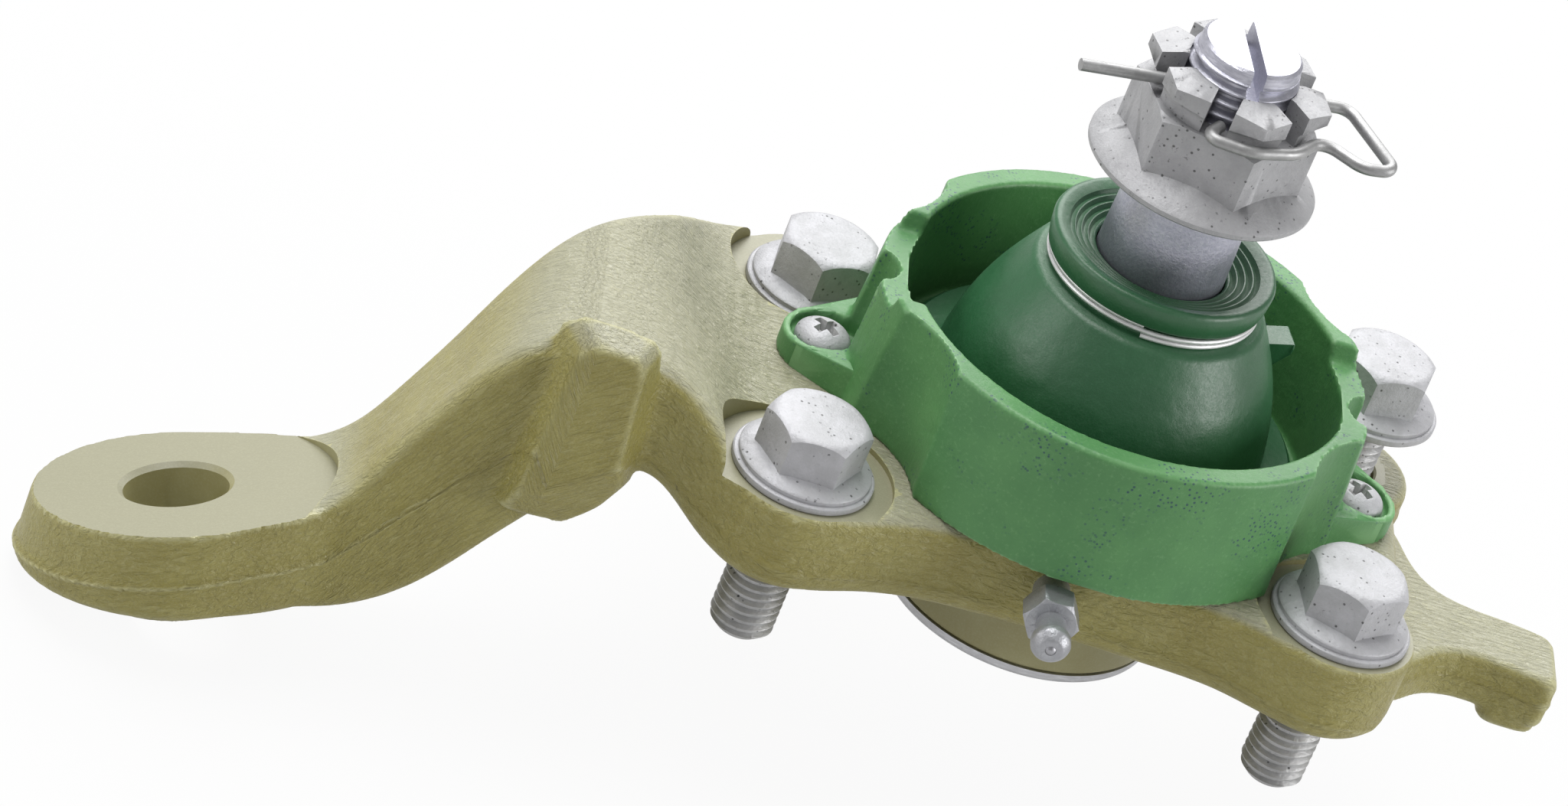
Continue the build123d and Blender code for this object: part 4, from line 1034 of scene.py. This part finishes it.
    def raise_flash(self, blank: Workpiece) -> None:
        """Raise the thin flash along the parting line, strongest from the eye up to the stop lug."""
        x, y, z = vertex_rows(blank.object.data, "co").T
        offset = z - self.parting(x, y)
        upright = 1 - np.abs(vertex_rows(blank.object.data, "normal")[:, 2])
        near_line = np.clip(1.3 - np.abs(offset) / 0.9, 0, 1)
        on_side = np.clip(upright * 1.6 - 0.5, 0, 1)
        weight = near_line * on_side * np.interp(x, [-112, -104, -60, -50], [1, 0.35, 0.3, 0.55])
        group = blank.object.vertex_groups.new(name="flash")
        steps = 8
        for step in range(1, steps + 1):
            picked = np.nonzero((weight > (step - 0.5) / steps) & (weight <= (step + 0.5) / steps))[0]
            if len(picked):
                group.add(picked.tolist(), step / steps, "REPLACE")
        blank.modify("DISPLACE", strength=self.flash_height, mid_level=0.0, vertex_group="flash")

    def build(self) -> None:
        """Forge the blank, machine it and hand it over."""
        forms = gathered(self.plate_blank(), self.bar(), self.eye_blank(), self.stop_lug())
        blank = Workpiece("forging", forms, self.finishes.paint)
        blank.modify("REMESH", mode="VOXEL", voxel_size=self.voxel)
        blank.modify("SMOOTH", factor=0.5, iterations=4)
        self.raise_flash(blank)
        blank.repaint(self.finishes.paint)
        blank.combine(Cut.ADD, self.drum(), self.finishes.machined, "MANIFOLD")
        for tool in self.cutters():
            blank.combine(Cut.REMOVE, tool, self.finishes.machined, "MANIFOLD")
        piece = blank.finish(38)
        self.lay_flow(piece)
        report(piece, Body.HOUSING, "arm_paint", "steering_arm")


# ---------------------------------------------------------------- stud, nut and clip


def threaded_rod(radius: float, pitch: float, low: float, high: float, steps: int = 48) -> Shape:
    """A rod with a rounded V thread, cut flat at both ends.

    Args:
        radius: Outer radius of the thread.
        pitch: Rise in one turn.
        low: Height of the lower end.
        high: Height of the upper end.
        steps: Steps in one turn.

    Returns:
        The closed solid.
    """
    depth = 0.5 * pitch
    root = radius - depth
    tooth = [
        (root, 0.0), (root, 0.10), (radius - 0.05, 0.42), (radius, 0.47), (radius, 0.53), (radius - 0.05, 0.58),
        (root, 0.90), (root, 1.0),
    ]
    turns = int((high - low) / pitch) + 3
    bm = bmesh.new()
    verts = [bm.verts.new((r, 0, low - 1.5 * pitch + share * pitch)) for r, share in tooth]
    edges = [bm.edges.new(pair) for pair in zip(verts, verts[1:])]
    bmesh.ops.spin(
        bm, geom=verts + edges, cent=(0, 0, 0), axis=(0, 0, 1), dvec=(0, 0, pitch / steps), angle=2 * pi * turns,
        steps=steps * turns,
    )
    bmesh.ops.remove_doubles(bm, verts=bm.verts, dist=1e-3)
    for height, side in ((low, -1), (high, 1)):
        whole = bm.verts[:] + bm.edges[:] + bm.faces[:]
        bmesh.ops.bisect_plane(bm, geom=whole, plane_co=(0, 0, height), plane_no=(0, 0, side), clear_outer=True)
        rim = [edge for edge in bm.edges if edge.is_boundary and all(abs(v.co.z - height) < 1e-3 for v in edge.verts)]
        bmesh.ops.holes_fill(bm, edges=rim, sides=0)
    bmesh.ops.recalc_face_normals(bm, faces=bm.faces)
    return bm


@dataclass
class BallStud:
    """The ball stud: ball, neck, tapered seat, and a thread with a slotted end."""

    finishes: Finishes
    ball_r: float = 16.95
    flat_z: float = -7.0
    neck_r: float = 9.0
    neck_top: float = 40.0
    taper_z: Point = (50.0, 76.5)
    taper_r: Point = (12.2, 11.3)
    thread_r: float = 10.0
    pitch: float = 2.5
    top: float = 104.3
    slot: tuple[float, float, float] = (2.4, 5.0, -83.0)
    clip_hole: tuple[float, float, float] = (1.5, 95.0, 15.0)

    def build(self) -> None:
        """Turn the body, cut the thread, the slot and the hole, and hand it over."""
        drop = self.flat_z - BALL_Z
        start = degrees(atan2(drop, sqrt(self.ball_r**2 - drop**2)))
        end = degrees(atan2(sqrt(self.ball_r**2 - self.neck_r**2), self.neck_r))
        ball = arc((0, BALL_Z), self.ball_r, start, end, 30)
        low, high = self.taper_z
        wide, narrow = self.taper_r
        under = self.thread_r - 1.0
        body = [
            (0, self.flat_z), *ball, (self.neck_r, self.neck_top),
            *arc((wide - 1.2, low - 1.2), 1.2, -30, 90, 4)[1:3], (wide, low), (narrow + 0.1, high - 0.6),
            (narrow - 0.4, high), (under, high + 0.8), (under, high + 4), (0, high + 4),
        ]
        stud = Workpiece("stud", turned(body, 96), self.finishes.stud)
        rod = Workpiece("rod", threaded_rod(self.thread_r, self.pitch, high + 1.0, self.top), self.finishes.thread)
        band, outside, top = self.thread_r - 0.6, self.thread_r + 2, self.top
        point = turned(
            [
                (0, high), (outside, high), (outside, top - 3.2), (band, top - 2.3), (band - 0.2, top - 0.5),
                (band - 0.8, top), (0, top),
            ],
            96,
        )
        core = turned([(0, top - 5), (band - 0.7, top - 3.6), (band, top - 2.5), (band, top + 1), (0, top + 1)], 96)
        rod.combine(Cut.ADD, core, self.finishes.stud)
        rod.combine(Cut.KEEP_COMMON, point, self.finishes.thread)
        width, depth, turn = self.slot
        rod.combine(Cut.REMOVE, placed(box(14, width / 2, top - depth, top + 4), turn_by(turn)), self.finishes.stud)
        hole_r, hole_z, hole_turn = self.clip_hole
        across = shift(0, 0, hole_z) @ turn_by(hole_turn) @ turn_by(90, "Y")
        rod.combine(Cut.REMOVE, placed(cylinder(hole_r, -14, 14, 24), across), self.finishes.stud)
        report(stud.finish(), Body.STUD, "stud_steel", "ball_stud")
        report(rod.finish(28), Body.STUD, "stud_steel")


@dataclass
class CastleNut:
    """The castle nut: coned flange, hexagon, and a crown of six merlons."""

    finishes: Finishes
    low: float = 77.7
    flange_r: float = 21.0
    rim: float = 1.7
    cone: float = 3.0
    across_flats: float = 30.0
    hex_top: float = 92.3
    crown_flats: float = 29.6
    neck_r: float = 14.3
    neck_top: float = 96.2
    top: float = 99.5
    slope_r: float = 11.2
    slope: float = 1.1
    slot_w: float = 4.6
    turn: float = 15.0
    bore_r: float = 10.03

    def build(self) -> None:
        """Turn, mill and slot the nut, and hand it over."""
        coat = self.finishes.nut
        low, seat, r = self.low, self.low + self.rim, self.flange_r
        flange = turned([
            (0, low), (r - 0.4, low), (r, low + 0.4), (r, seat - 0.5), (r - 0.5, seat), (15.0, seat + self.cone),
            (0, seat + self.cone),
        ], 120)
        nut = Workpiece("nut", flange, coat)
        nut.combine(Cut.ADD, prism(hexagon(self.across_flats, self.turn - 30), seat, self.hex_top), coat)
        nut.combine(Cut.ADD, prism(hexagon(self.crown_flats, self.turn - 30), self.hex_top - 1, self.top), coat)
        out, top, deck = corner_radius(self.crown_flats), self.top, self.hex_top
        away = out + 3
        shoulder = turned([
            (self.slope_r, top), (out + 0.3, top - self.slope), (away, top - self.slope), (away, top + 2),
            (self.slope_r, top + 2),
        ], 96, True)
        cove = curve_through(
            [(self.neck_r, deck + 1.3), (self.neck_r + 0.25, deck + 2.6), (out + 0.1, self.neck_top)], 5,
        )
        groove = turned([
            (self.neck_r, deck + 0.02), *map(tuple, cove), (away, self.neck_top), (away, deck + 0.02),
        ], 96, True)
        chamfer = turned([(15.9, deck), (18.5, deck - 1.4), (18.5, deck + 0.5), (15.9, deck + 0.5)], 96, True)
        for tool in (shoulder, groove, chamfer):
            nut.combine(Cut.REMOVE, tool, coat)
        for angle in range(3):
            slit = box(20, self.slot_w / 2, deck + 0.01, top + 3)
            nut.combine(Cut.REMOVE, placed(slit, turn_by(self.turn + 60 * angle)), coat)
        nut.combine(Cut.REMOVE, cylinder(self.bore_r, low - 2, top + 2, 96), coat)
        nut.edit(lambda bm: bmesh.ops.remove_doubles(bm, verts=bm.verts, dist=0.02))
        nut.modify(
            "BEVEL", width=0.35, segments=3, limit_method="ANGLE", angle_limit=radians(28), use_clamp_overlap=True,
        )
        report(nut.finish(), Body.STUD, "nut_coating", "castle_nut")


# ---------------------------------------------------------------- boot, shield and screws


@dataclass
class DustBoot:
    """The rubber boot: a turned bell with a base flange, a wire groove, a labyrinth lip and a gusset."""

    finishes: Finishes
    base_r: float = 37.5
    base_z: float = 21.0
    base_top: float = 25.0
    bell_r: float = 31.0
    shoulder_z: float = 28.0
    lip_r: float = 20.9
    lip_top: float = 61.0
    groove_r: float = 18.9
    groove_z: Point = (53.2, 55.2)
    bore_r: float = 12.5
    wipe_r: float = 12.15
    foot_r: float = 27.52
    rib: Point = (12.0, 5.6)
    bend: Point = (0.027, 0.0465)

    def lip(self) -> list[Point]:
        """The top of the lip from its outer edge inwards: a rim, a slope and concentric steps."""
        top = self.lip_top
        points = [(self.lip_r, top - 0.9), (self.lip_r - 0.25, top - 0.3), (self.lip_r - 0.8, top)]
        r, z = self.lip_r - 3.0, top - 0.7
        points += [(self.lip_r - 1.4, top - 0.05), (r, z), (r - 0.2, z - 0.5)]
        for _ in range(4):
            points += [(r - 0.45, z - 0.8), (r - 0.8, z - 0.66), (r - 1.1, z - 0.4), (r - 1.3, z - 0.45)]
            r, z = r - 1.35, z - 0.45
        return [
            *points, (self.wipe_r + 0.1, z - 0.3), (self.wipe_r, z - 0.7), (self.wipe_r + 0.1, z - 1.2),
            (self.bore_r, z - 2.0),
        ]

    def build(self) -> None:
        """Turn the boot, add the gusset and hand it over."""
        bell = curve_through(
            [
                (self.bell_r, self.shoulder_z), (30.3, 32.0), (28.2, 39.5), (25.8, 45.0),
                (self.groove_r + 3.2, self.groove_z[0] - 1.5),
            ],
            8,
        )
        inner = curve_through(
            [(self.bore_r, 49.5), (self.groove_r, 47.7), (25.7, 39.0), (27.9, 33.0), (self.foot_r, 26.3)], 6,
        )
        low, high = self.groove_z
        groove, lip, foot, base, top = self.groove_r, self.lip_r, self.base_z, self.base_r, self.base_top
        profile = [
            (self.foot_r, foot), (base - 0.5, foot), (base, foot + 0.5), (base, top - 0.9), (base - 0.9, top),
            (self.bell_r + 1.2, top), (self.bell_r + 0.35, top + 0.35), (self.bell_r, top + 1.2), *map(tuple, bell),
            (groove + 2.9, low - 1.0), (groove + 2.0, low - 0.45), (groove + 0.3, low - 0.1), (groove, low + 0.2),
            (groove, high), (groove + 0.3, high + 0.35), (lip - 0.9, high + 0.6), (lip - 0.55, high + 1.0),
            (lip - 0.2, high + 2.6), *self.lip(), *map(tuple, inner),
        ]
        boot = Workpiece("boot", turned(profile, 144, True), self.finishes.rubber)
        angle, width = self.rib
        web = prism(
            [(23.6, 38.6), (27.0, 39.4), (29.7, 45.0), (29.9, 46.2), (29.7, 47.4), (23.6, 46.4)], -width / 2,
            width / 2,
        )
        for vert in web.verts:
            if vert.co.y < 41:
                vert.co.z *= 0.25
        round_edges(web, lambda e: min(v.co.x for v in e.verts) > 26, 0.4, 3)
        upright = Matrix(((1, 0, 0, 0), (0, 0, -1, 0), (0, 1, 0, 0), (0, 0, 0, 1)))
        boot.combine(Cut.ADD, placed(web, turn_by(angle) @ upright), self.finishes.rubber)
        piece = boot.finish(40)
        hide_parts("dust_boot")
        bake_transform(piece)
        LOG.info("%s: %d faces between %s and %s", piece.name, len(piece.data.polygons), Body.SEAT, Body.NECK)


@dataclass
class BootClamp:
    """The clamp of the boot: one wire wound twice round its groove."""

    finishes: Finishes
    radius: float = 19.62
    low: float = 53.72
    wire_r: float = 0.47
    pitch: float = 1.02
    start: float = -97.0

    def build(self) -> None:
        """Wind the wire and hand it over."""
        bm = bmesh.new()
        ring = bmesh.ops.create_circle(bm, segments=14, radius=self.wire_r)["verts"]
        bmesh.ops.transform(bm, matrix=shift(self.radius, 0, self.low) @ turn_by(90, "X"), verts=ring)
        bmesh.ops.rotate(bm, cent=(0, 0, 0), matrix=Matrix.Rotation(radians(self.start), 3, "Z"), verts=ring)
        steps = 120
        bmesh.ops.spin(
            bm, geom=bm.verts[:] + bm.edges[:], cent=(0, 0, 0), axis=(0, 0, 1), dvec=(0, 0, self.pitch / steps),
            angle=4 * pi, steps=2 * steps,
        )
        bmesh.ops.holes_fill(bm, edges=[e for e in bm.edges if e.is_boundary], sides=0)
        wire = Workpiece("clamp", tidy(bm), self.finishes.clamp)
        report(wire.finish(60), Body.NECK, "wire_zinc", "boot_clamp_wire")


@dataclass
class ShieldRing:
    """The plastic shield: the CAD solid with its edges broken as on a moulding."""

    finishes: Finishes
    node: str = "shield_ring"
    voxel: float = 0.5
    keep: float = 0.42
    ear_r: float = 7.6
    ear_wall_t: float = 1.3
    seat: float = 18.02
    rim: Point = (24.7, 22.9)

    def ear_wall(self, side: int, end: int) -> Shape:
        """One of the two walls of an ear, which widens towards the ring.

        Args:
            side: 1 for the right ear, -1 for the left one.
            end: 1 for the rear wall, -1 for the front one.

        Returns:
            The wall as a solid.
        """
        inner = self.ear_r - self.ear_wall_t
        tip = arc((EAR_X, 0), self.ear_r, 50, 62, 2)
        wall = prism(
            [(EAR_X + 2.6, inner - 0.5), *tip, (44.9, 12.6), (45.8, 9.0), (46.4, inner)], self.seat, self.rim[0] + 3,
        )
        fall = Vector((self.rim[0] - self.rim[1], 0, 9.0)).normalized()
        sliced(wall, (46.0, 0, self.rim[0]), fall)
        round_edges(wall, lambda e: min(v.co.z for v in e.verts) > self.seat + 1, 0.25, 2)
        bmesh.ops.transform(wall, matrix=Matrix.Diagonal((side, end, 1, 1)), verts=wall.verts)
        return tidy(wall)

    def build(self, nodes: dict[str, bpy.types.Object]) -> None:
        """Copy the solid, soften it and hand it over."""
        bm = bmesh.new()
        bm.from_mesh(nodes[self.node].data)
        bmesh.ops.scale(bm, vec=(1 / MM,) * 3, verts=bm.verts)
        bmesh.ops.remove_doubles(bm, verts=bm.verts, dist=1e-3)
        ring = Workpiece("shield", bm, self.finishes.shield)
        ring.modify("REMESH", mode="VOXEL", voxel_size=self.voxel)
        ring.modify("SMOOTH", factor=0.5, iterations=2)
        ring.modify("DECIMATE", ratio=self.keep)
        ring.repaint(self.finishes.shield)
        for side in (-1, 1):
            for end in (-1, 1):
                ring.combine(Cut.ADD, self.ear_wall(side, end), self.finishes.shield)
        report(ring.finish(50), Body.HOUSING, "shield_plastic", self.node)


@dataclass
class ShieldScrews:
    """The two pan head screws with cross recesses."""

    finishes: Finishes
    under: float = 21.0
    head_r: float = 5.2
    head_h: float = 3.8
    length: float = 12.0
    recess: tuple[float, float, float] = (3.3, 0.95, 2.4)

    def build(self) -> None:
        """Build both screws and hand them over."""
        half_length, half_width, depth = self.recess
        for side, x in (("left", -EAR_X), ("right", EAR_X)):
            dome = [
                (self.head_r * cos(radians(a)), 1.0 + (self.head_h - 1.0) * sin(radians(a))) for a in range(0, 91, 9)
            ]
            head = turned([(0, 0), (self.head_r - 0.3, 0), (self.head_r, 0.3), *dome[:-1], (0, self.head_h)], 64)
            screw = Workpiece(f"screw_{side}", head, self.finishes.bolt)
            for turn in (45, 135):
                blade = box(half_length, half_width, self.head_h - depth, self.head_h + 1)
                bmesh.ops.scale(blade, vec=(0.5, 0.7, 1), verts=[v for v in blade.verts if v.co.z < self.head_h])
                screw.combine(Cut.REMOVE, placed(blade, turn_by(turn)), self.finishes.shank)
            screw.modify("BEVEL", width=0.12, segments=2, limit_method="ANGLE", angle_limit=radians(40))
            shank = threaded_rod(2.5, 0.8, -self.length, 0.3, 24)
            place = shift(x, 0, self.under)
            screw.edit(lambda bm, extra=shank: gathered(bm, extra)).edit(lambda bm, place=place: placed(bm, place))
            report(screw.finish(), Body.HOUSING, "bolt_coating", f"shield_screw_{side}")


# ---------------------------------------------------------------- bolts and fitting


@dataclass
class FlangeBolts:
    """The four flange bolts of the plate."""

    finishes: Finishes
    flange_r: float = 13.0
    rim: float = 1.8
    rise: float = 3.6
    across_flats: float = 17.0
    head: float = 11.6
    shank_r: float = 6.0
    length: float = 35.0
    pitch: float = 1.75
    places: tuple[tuple[str, float, float, float, float], ...] = (
        ("front_left", -51.6, -35.6, 17.0, 0.0), ("front_right", 48.5, -32.5, 17.0, 38.0),
        ("rear_left", -51.0, 27.5, 14.0, 23.0), ("rear_right", 55.0, 35.4, 20.6, 15.0),
    )

    def build(self) -> None:
        """Build the bolts and hand them over."""
        coat, r, rim, head, shank = self.finishes.bolt, self.flange_r, self.rim, self.head, self.shank_r
        corner = corner_radius(self.across_flats)
        for name, x, y, under, turn in self.places:
            flange = turned(
                [
                    (0, 0), (r - 0.3, 0), (r, 0.3), (r, rim - 0.5), (r - 0.3, rim - 0.3), (r - 0.9, rim - 0.3),
                    (r - 0.8, rim + 0.5), (r - 1.1, rim + 0.8), (r - 4.0, self.rise), (0, self.rise),
                ],
                96,
            )
            bolt = Workpiece(f"bolt_{name}_dressed", flange, coat)
            block = Workpiece("block", prism(hexagon(self.across_flats, turn), 1.0, head), coat)
            crown = turned(
                [
                    (0, 0), (corner + 1, 0), (corner + 1, head - 2.2), (corner - 0.9, head - 0.5),
                    (corner - 1.6, head - 0.1), (corner - 2.4, head), (0, head),
                ],
                72,
            )
            block.combine(Cut.KEEP_COMMON, crown, coat)
            bolt.combine(Cut.ADD, block.into_shape(), coat)
            bolt.edit(lambda bm: bmesh.ops.remove_doubles(bm, verts=bm.verts, dist=0.02))
            bolt.modify("BEVEL", width=0.4, segments=3, limit_method="ANGLE", angle_limit=radians(30))
            rod = Workpiece("rod", threaded_rod(shank, self.pitch, -self.length, 0.3), self.finishes.shank)
            tip = turned(
                [
                    (0, -self.length), (shank - 1.6, -self.length), (shank + 0.3, -self.length + 1.9),
                    (shank + 0.3, 1), (0, 1),
                ],
                64,
            )
            rod.combine(Cut.KEEP_COMMON, tip, self.finishes.shank)
            shape = rod.into_shape()
            bolt.object.data.materials.append(self.finishes.shank)
            for face in shape.faces:
                face.material_index = len(bolt.object.data.materials) - 1
            place = shift(x, y, under)
            bolt.edit(lambda bm, extra=shape: gathered(bm, extra)).edit(lambda bm, place=place: placed(bm, place))
            report(bolt.finish(), f"bolt_{name}", "bolt_coating", f"bolt_{name}")


@dataclass
class GreaseFitting:
    """The grease fitting on the front edge of the plate."""

    finishes: Finishes
    total: float = 25.0
    depth: float = 7.0
    stub: float = 4.6
    hex_t: float = 5.4
    across_flats: float = 9.0

    def build(self) -> None:
        """Build the fitting along its own axis, then turn it to point forwards."""
        coat, tip, foot = self.finishes.fitting, self.total - self.depth, -self.depth
        low, high = self.stub, self.stub + self.hex_t
        nose = [
            (2.7, high), (2.7, tip - 4.4), (2.85, tip - 4.0), (3.5, tip - 3.2), (3.55, tip - 2.9), (3.55, tip - 1.8),
            (3.4, tip - 1.4), (2.3, tip - 0.15), (2.05, tip), (0.95, tip), (1.2, tip - 0.4), (0, tip - 0.6),
        ]
        body = turned([(0, foot), (3.0, foot), (3.3, foot + 0.4), (3.3, low), (3.3, high), *nose], 64)
        fitting = Workpiece("fitting", body, coat)
        block = Workpiece("block", prism(hexagon(self.across_flats, 0), low, high), coat)
        corner = corner_radius(self.across_flats)
        cone = turned(
            [
                (0, low), (corner - 0.75, low), (corner + 0.2, low + 0.7), (corner + 0.2, high - 0.7),
                (corner - 0.75, high), (0, high),
            ],
            64,
        )
        block.combine(Cut.KEEP_COMMON, cone, coat)
        fitting.combine(Cut.ADD, block.into_shape(), coat)
        fitting.modify("BEVEL", width=0.15, segments=2, limit_method="ANGLE", angle_limit=radians(35))
        forward = shift(*FITTING_PLACE) @ turn_by(90, "X")
        fitting.edit(lambda bm: placed(bm, forward))
        report(fitting.finish(), Body.HOUSING, "fitting_zinc", "grease_fitting")


# ---------------------------------------------------------------- the studio


@dataclass
class Studio:
    """Camera, floor and lights."""

    place: tuple[float, float, float] = (-0.2260482, -0.99946244, 0.64717892)
    right: tuple[float, float, float] = (0.94685263, 0.04045581, 0.31911351)
    down: tuple[float, float, float] = (0.28742654, -0.55180466, -0.78287777)
    ahead: tuple[float, float, float] = (0.14441637, 0.83299157, -0.53410576)
    focal_pixels: float = 8737.9
    width_pixels: float = 2048.0
    sensor_mm: float = 36.0
    floor_half: float = 6.0
    floor_grey: float = 0.57
    seen_glow: float = 0.93
    mirrored_glow: float = 0.4
    sky: float = 0.34

    def camera(self) -> None:
        """Set the camera at the photograph's place."""
        data = bpy.data.cameras.new("camera")
        data.sensor_width = self.sensor_mm
        data.lens = self.focal_pixels / self.width_pixels * data.sensor_width
        data.clip_start, data.clip_end = 0.05, 50.0
        axes = Matrix((Vector(self.right), -Vector(self.down), -Vector(self.ahead))).transposed()
        camera = bpy.data.objects.new("camera", data)
        camera.matrix_world = Matrix.Translation(self.place) @ axes.to_4x4()
        bpy.context.scene.collection.objects.link(camera)
        bpy.context.scene.camera = camera

    def lamp(self, name: str, place: Sequence[float], aim: Sequence[float], size: float, power: float) -> None:
        """A square soft light.

        Args:
            name: Name of the light.
            place: Where it stands.
            aim: The point that it faces.
            size: Side of the square.
            power: Power in watts.
        """
        data = bpy.data.lights.new(name, "AREA")
        data.shape, data.size, data.energy = "SQUARE", size, power
        lamp = bpy.data.objects.new(name, data)
        lamp.location = place
        lamp.rotation_euler = (Vector(aim) - Vector(place)).to_track_quat("-Z", "Y").to_euler()
        bpy.context.scene.collection.objects.link(lamp)

    def floor(self, level: float) -> None:
        """A plain pale floor that the camera sees near white, with the object's shadow kept."""
        bm = bmesh.new()
        bmesh.ops.create_grid(bm, x_segments=1, y_segments=1, size=self.floor_half)
        bmesh.ops.translate(bm, verts=bm.verts, vec=(0, 0, level))
        mesh = bpy.data.meshes.new("floor")
        bm.to_mesh(mesh)
        bm.free()
        floor = bpy.data.objects.new("floor", mesh)
        bpy.context.scene.collection.objects.link(floor)
        r = Recipe("floor")
        r.done((self.floor_grey,) * 3, 0.9, specular=0.1)
        tree = r.tree
        glow = tree.nodes.new("ShaderNodeEmission")
        glow.inputs["Color"].default_value = (1, 1, 1, 1)
        rays = tree.nodes.new("ShaderNodeLightPath")
        seen = r.calc("MULTIPLY", rays.outputs["Is Camera Ray"], self.seen_glow)
        share = r.calc("MAXIMUM", seen, r.calc("MULTIPLY", rays.outputs["Is Glossy Ray"], self.mirrored_glow))
        mix = tree.nodes.new("ShaderNodeMixShader")
        for source, target in zip((share, r.shader.outputs[0], glow.outputs[0]), mix.inputs):
            r.link(source, target)
        output = next(n for n in tree.nodes if n.type == "OUTPUT_MATERIAL")
        r.link(mix.outputs[0], output.inputs["Surface"])
        mesh.materials.append(r.material)
        floor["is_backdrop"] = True

    def world(self) -> None:
        """A pale world."""
        world = bpy.data.worlds.new("studio")
        bpy.context.scene.world = world
        world.use_nodes = True
        back = world.node_tree.nodes["Background"]
        back.inputs["Color"].default_value = (1, 1, 1, 1)
        back.inputs["Strength"].default_value = self.sky

    def build(self, level: float) -> None:
        """Set up everything."""
        bpy.context.scene.view_settings.view_transform = "Standard"
        self.camera()
        self.world()
        self.floor(level)
        self.lamp("key", (-0.5, 0.3, 1.65), (0, 0, 0), 1.2, 28)
        self.lamp("back", (0.12, 1.55, 1.15), (0, 0, 0), 1.5, 28)
        self.lamp("left", (-1.5, -0.3, 0.45), (-0.04, 0, 0.02), 0.8, 6)
        self.lamp("right", (1.4, -0.45, 0.5), (0.02, 0, 0.03), 0.8, 13)
        LOG.info("studio set")


def dress_nodes(finishes: Finishes, nodes: dict[str, bpy.types.Object]) -> None:
    """Give the CAD nodes that stay their finishes."""
    chosen = {
        "locking_clip": finishes.wire, "boot_seat_ring": finishes.inner_steel, "upper_bearing_shell": finishes.shell,
        "lower_bearing_shell": finishes.shell, "preload_spring": finishes.spring,
        "thrust_plate": finishes.inner_steel, "snap_ring": finishes.spring, "end_cover": finishes.cover,
        "check_ball": finishes.inner_steel, "check_spring": finishes.spring,
    }
    for name, material in chosen.items():
        slots = nodes[name].material_slots
        if not slots:
            nodes[name].data.materials.append(material)
        for slot in nodes[name].material_slots:
            slot.material = material
        LOG.info("%s keeps its solid", name)


def main() -> None:
    """Build the pieces in order."""
    logging.basicConfig(level=logging.INFO, format="%(message)s")
    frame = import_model()
    low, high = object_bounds()
    finishes = Finishes()
    dress_nodes(finishes, frame["nodes"])
    SteeringArm(finishes).build()
    BallStud(finishes).build()
    CastleNut(finishes).build()
    DustBoot(finishes).build()
    BootClamp(finishes).build()
    ShieldRing(finishes).build(frame["nodes"])
    ShieldScrews(finishes).build()
    FlangeBolts(finishes).build()
    GreaseFitting(finishes).build()
    Studio().build(low[2] - FLOOR_GAP)


if __name__ == "__main__":
    main()
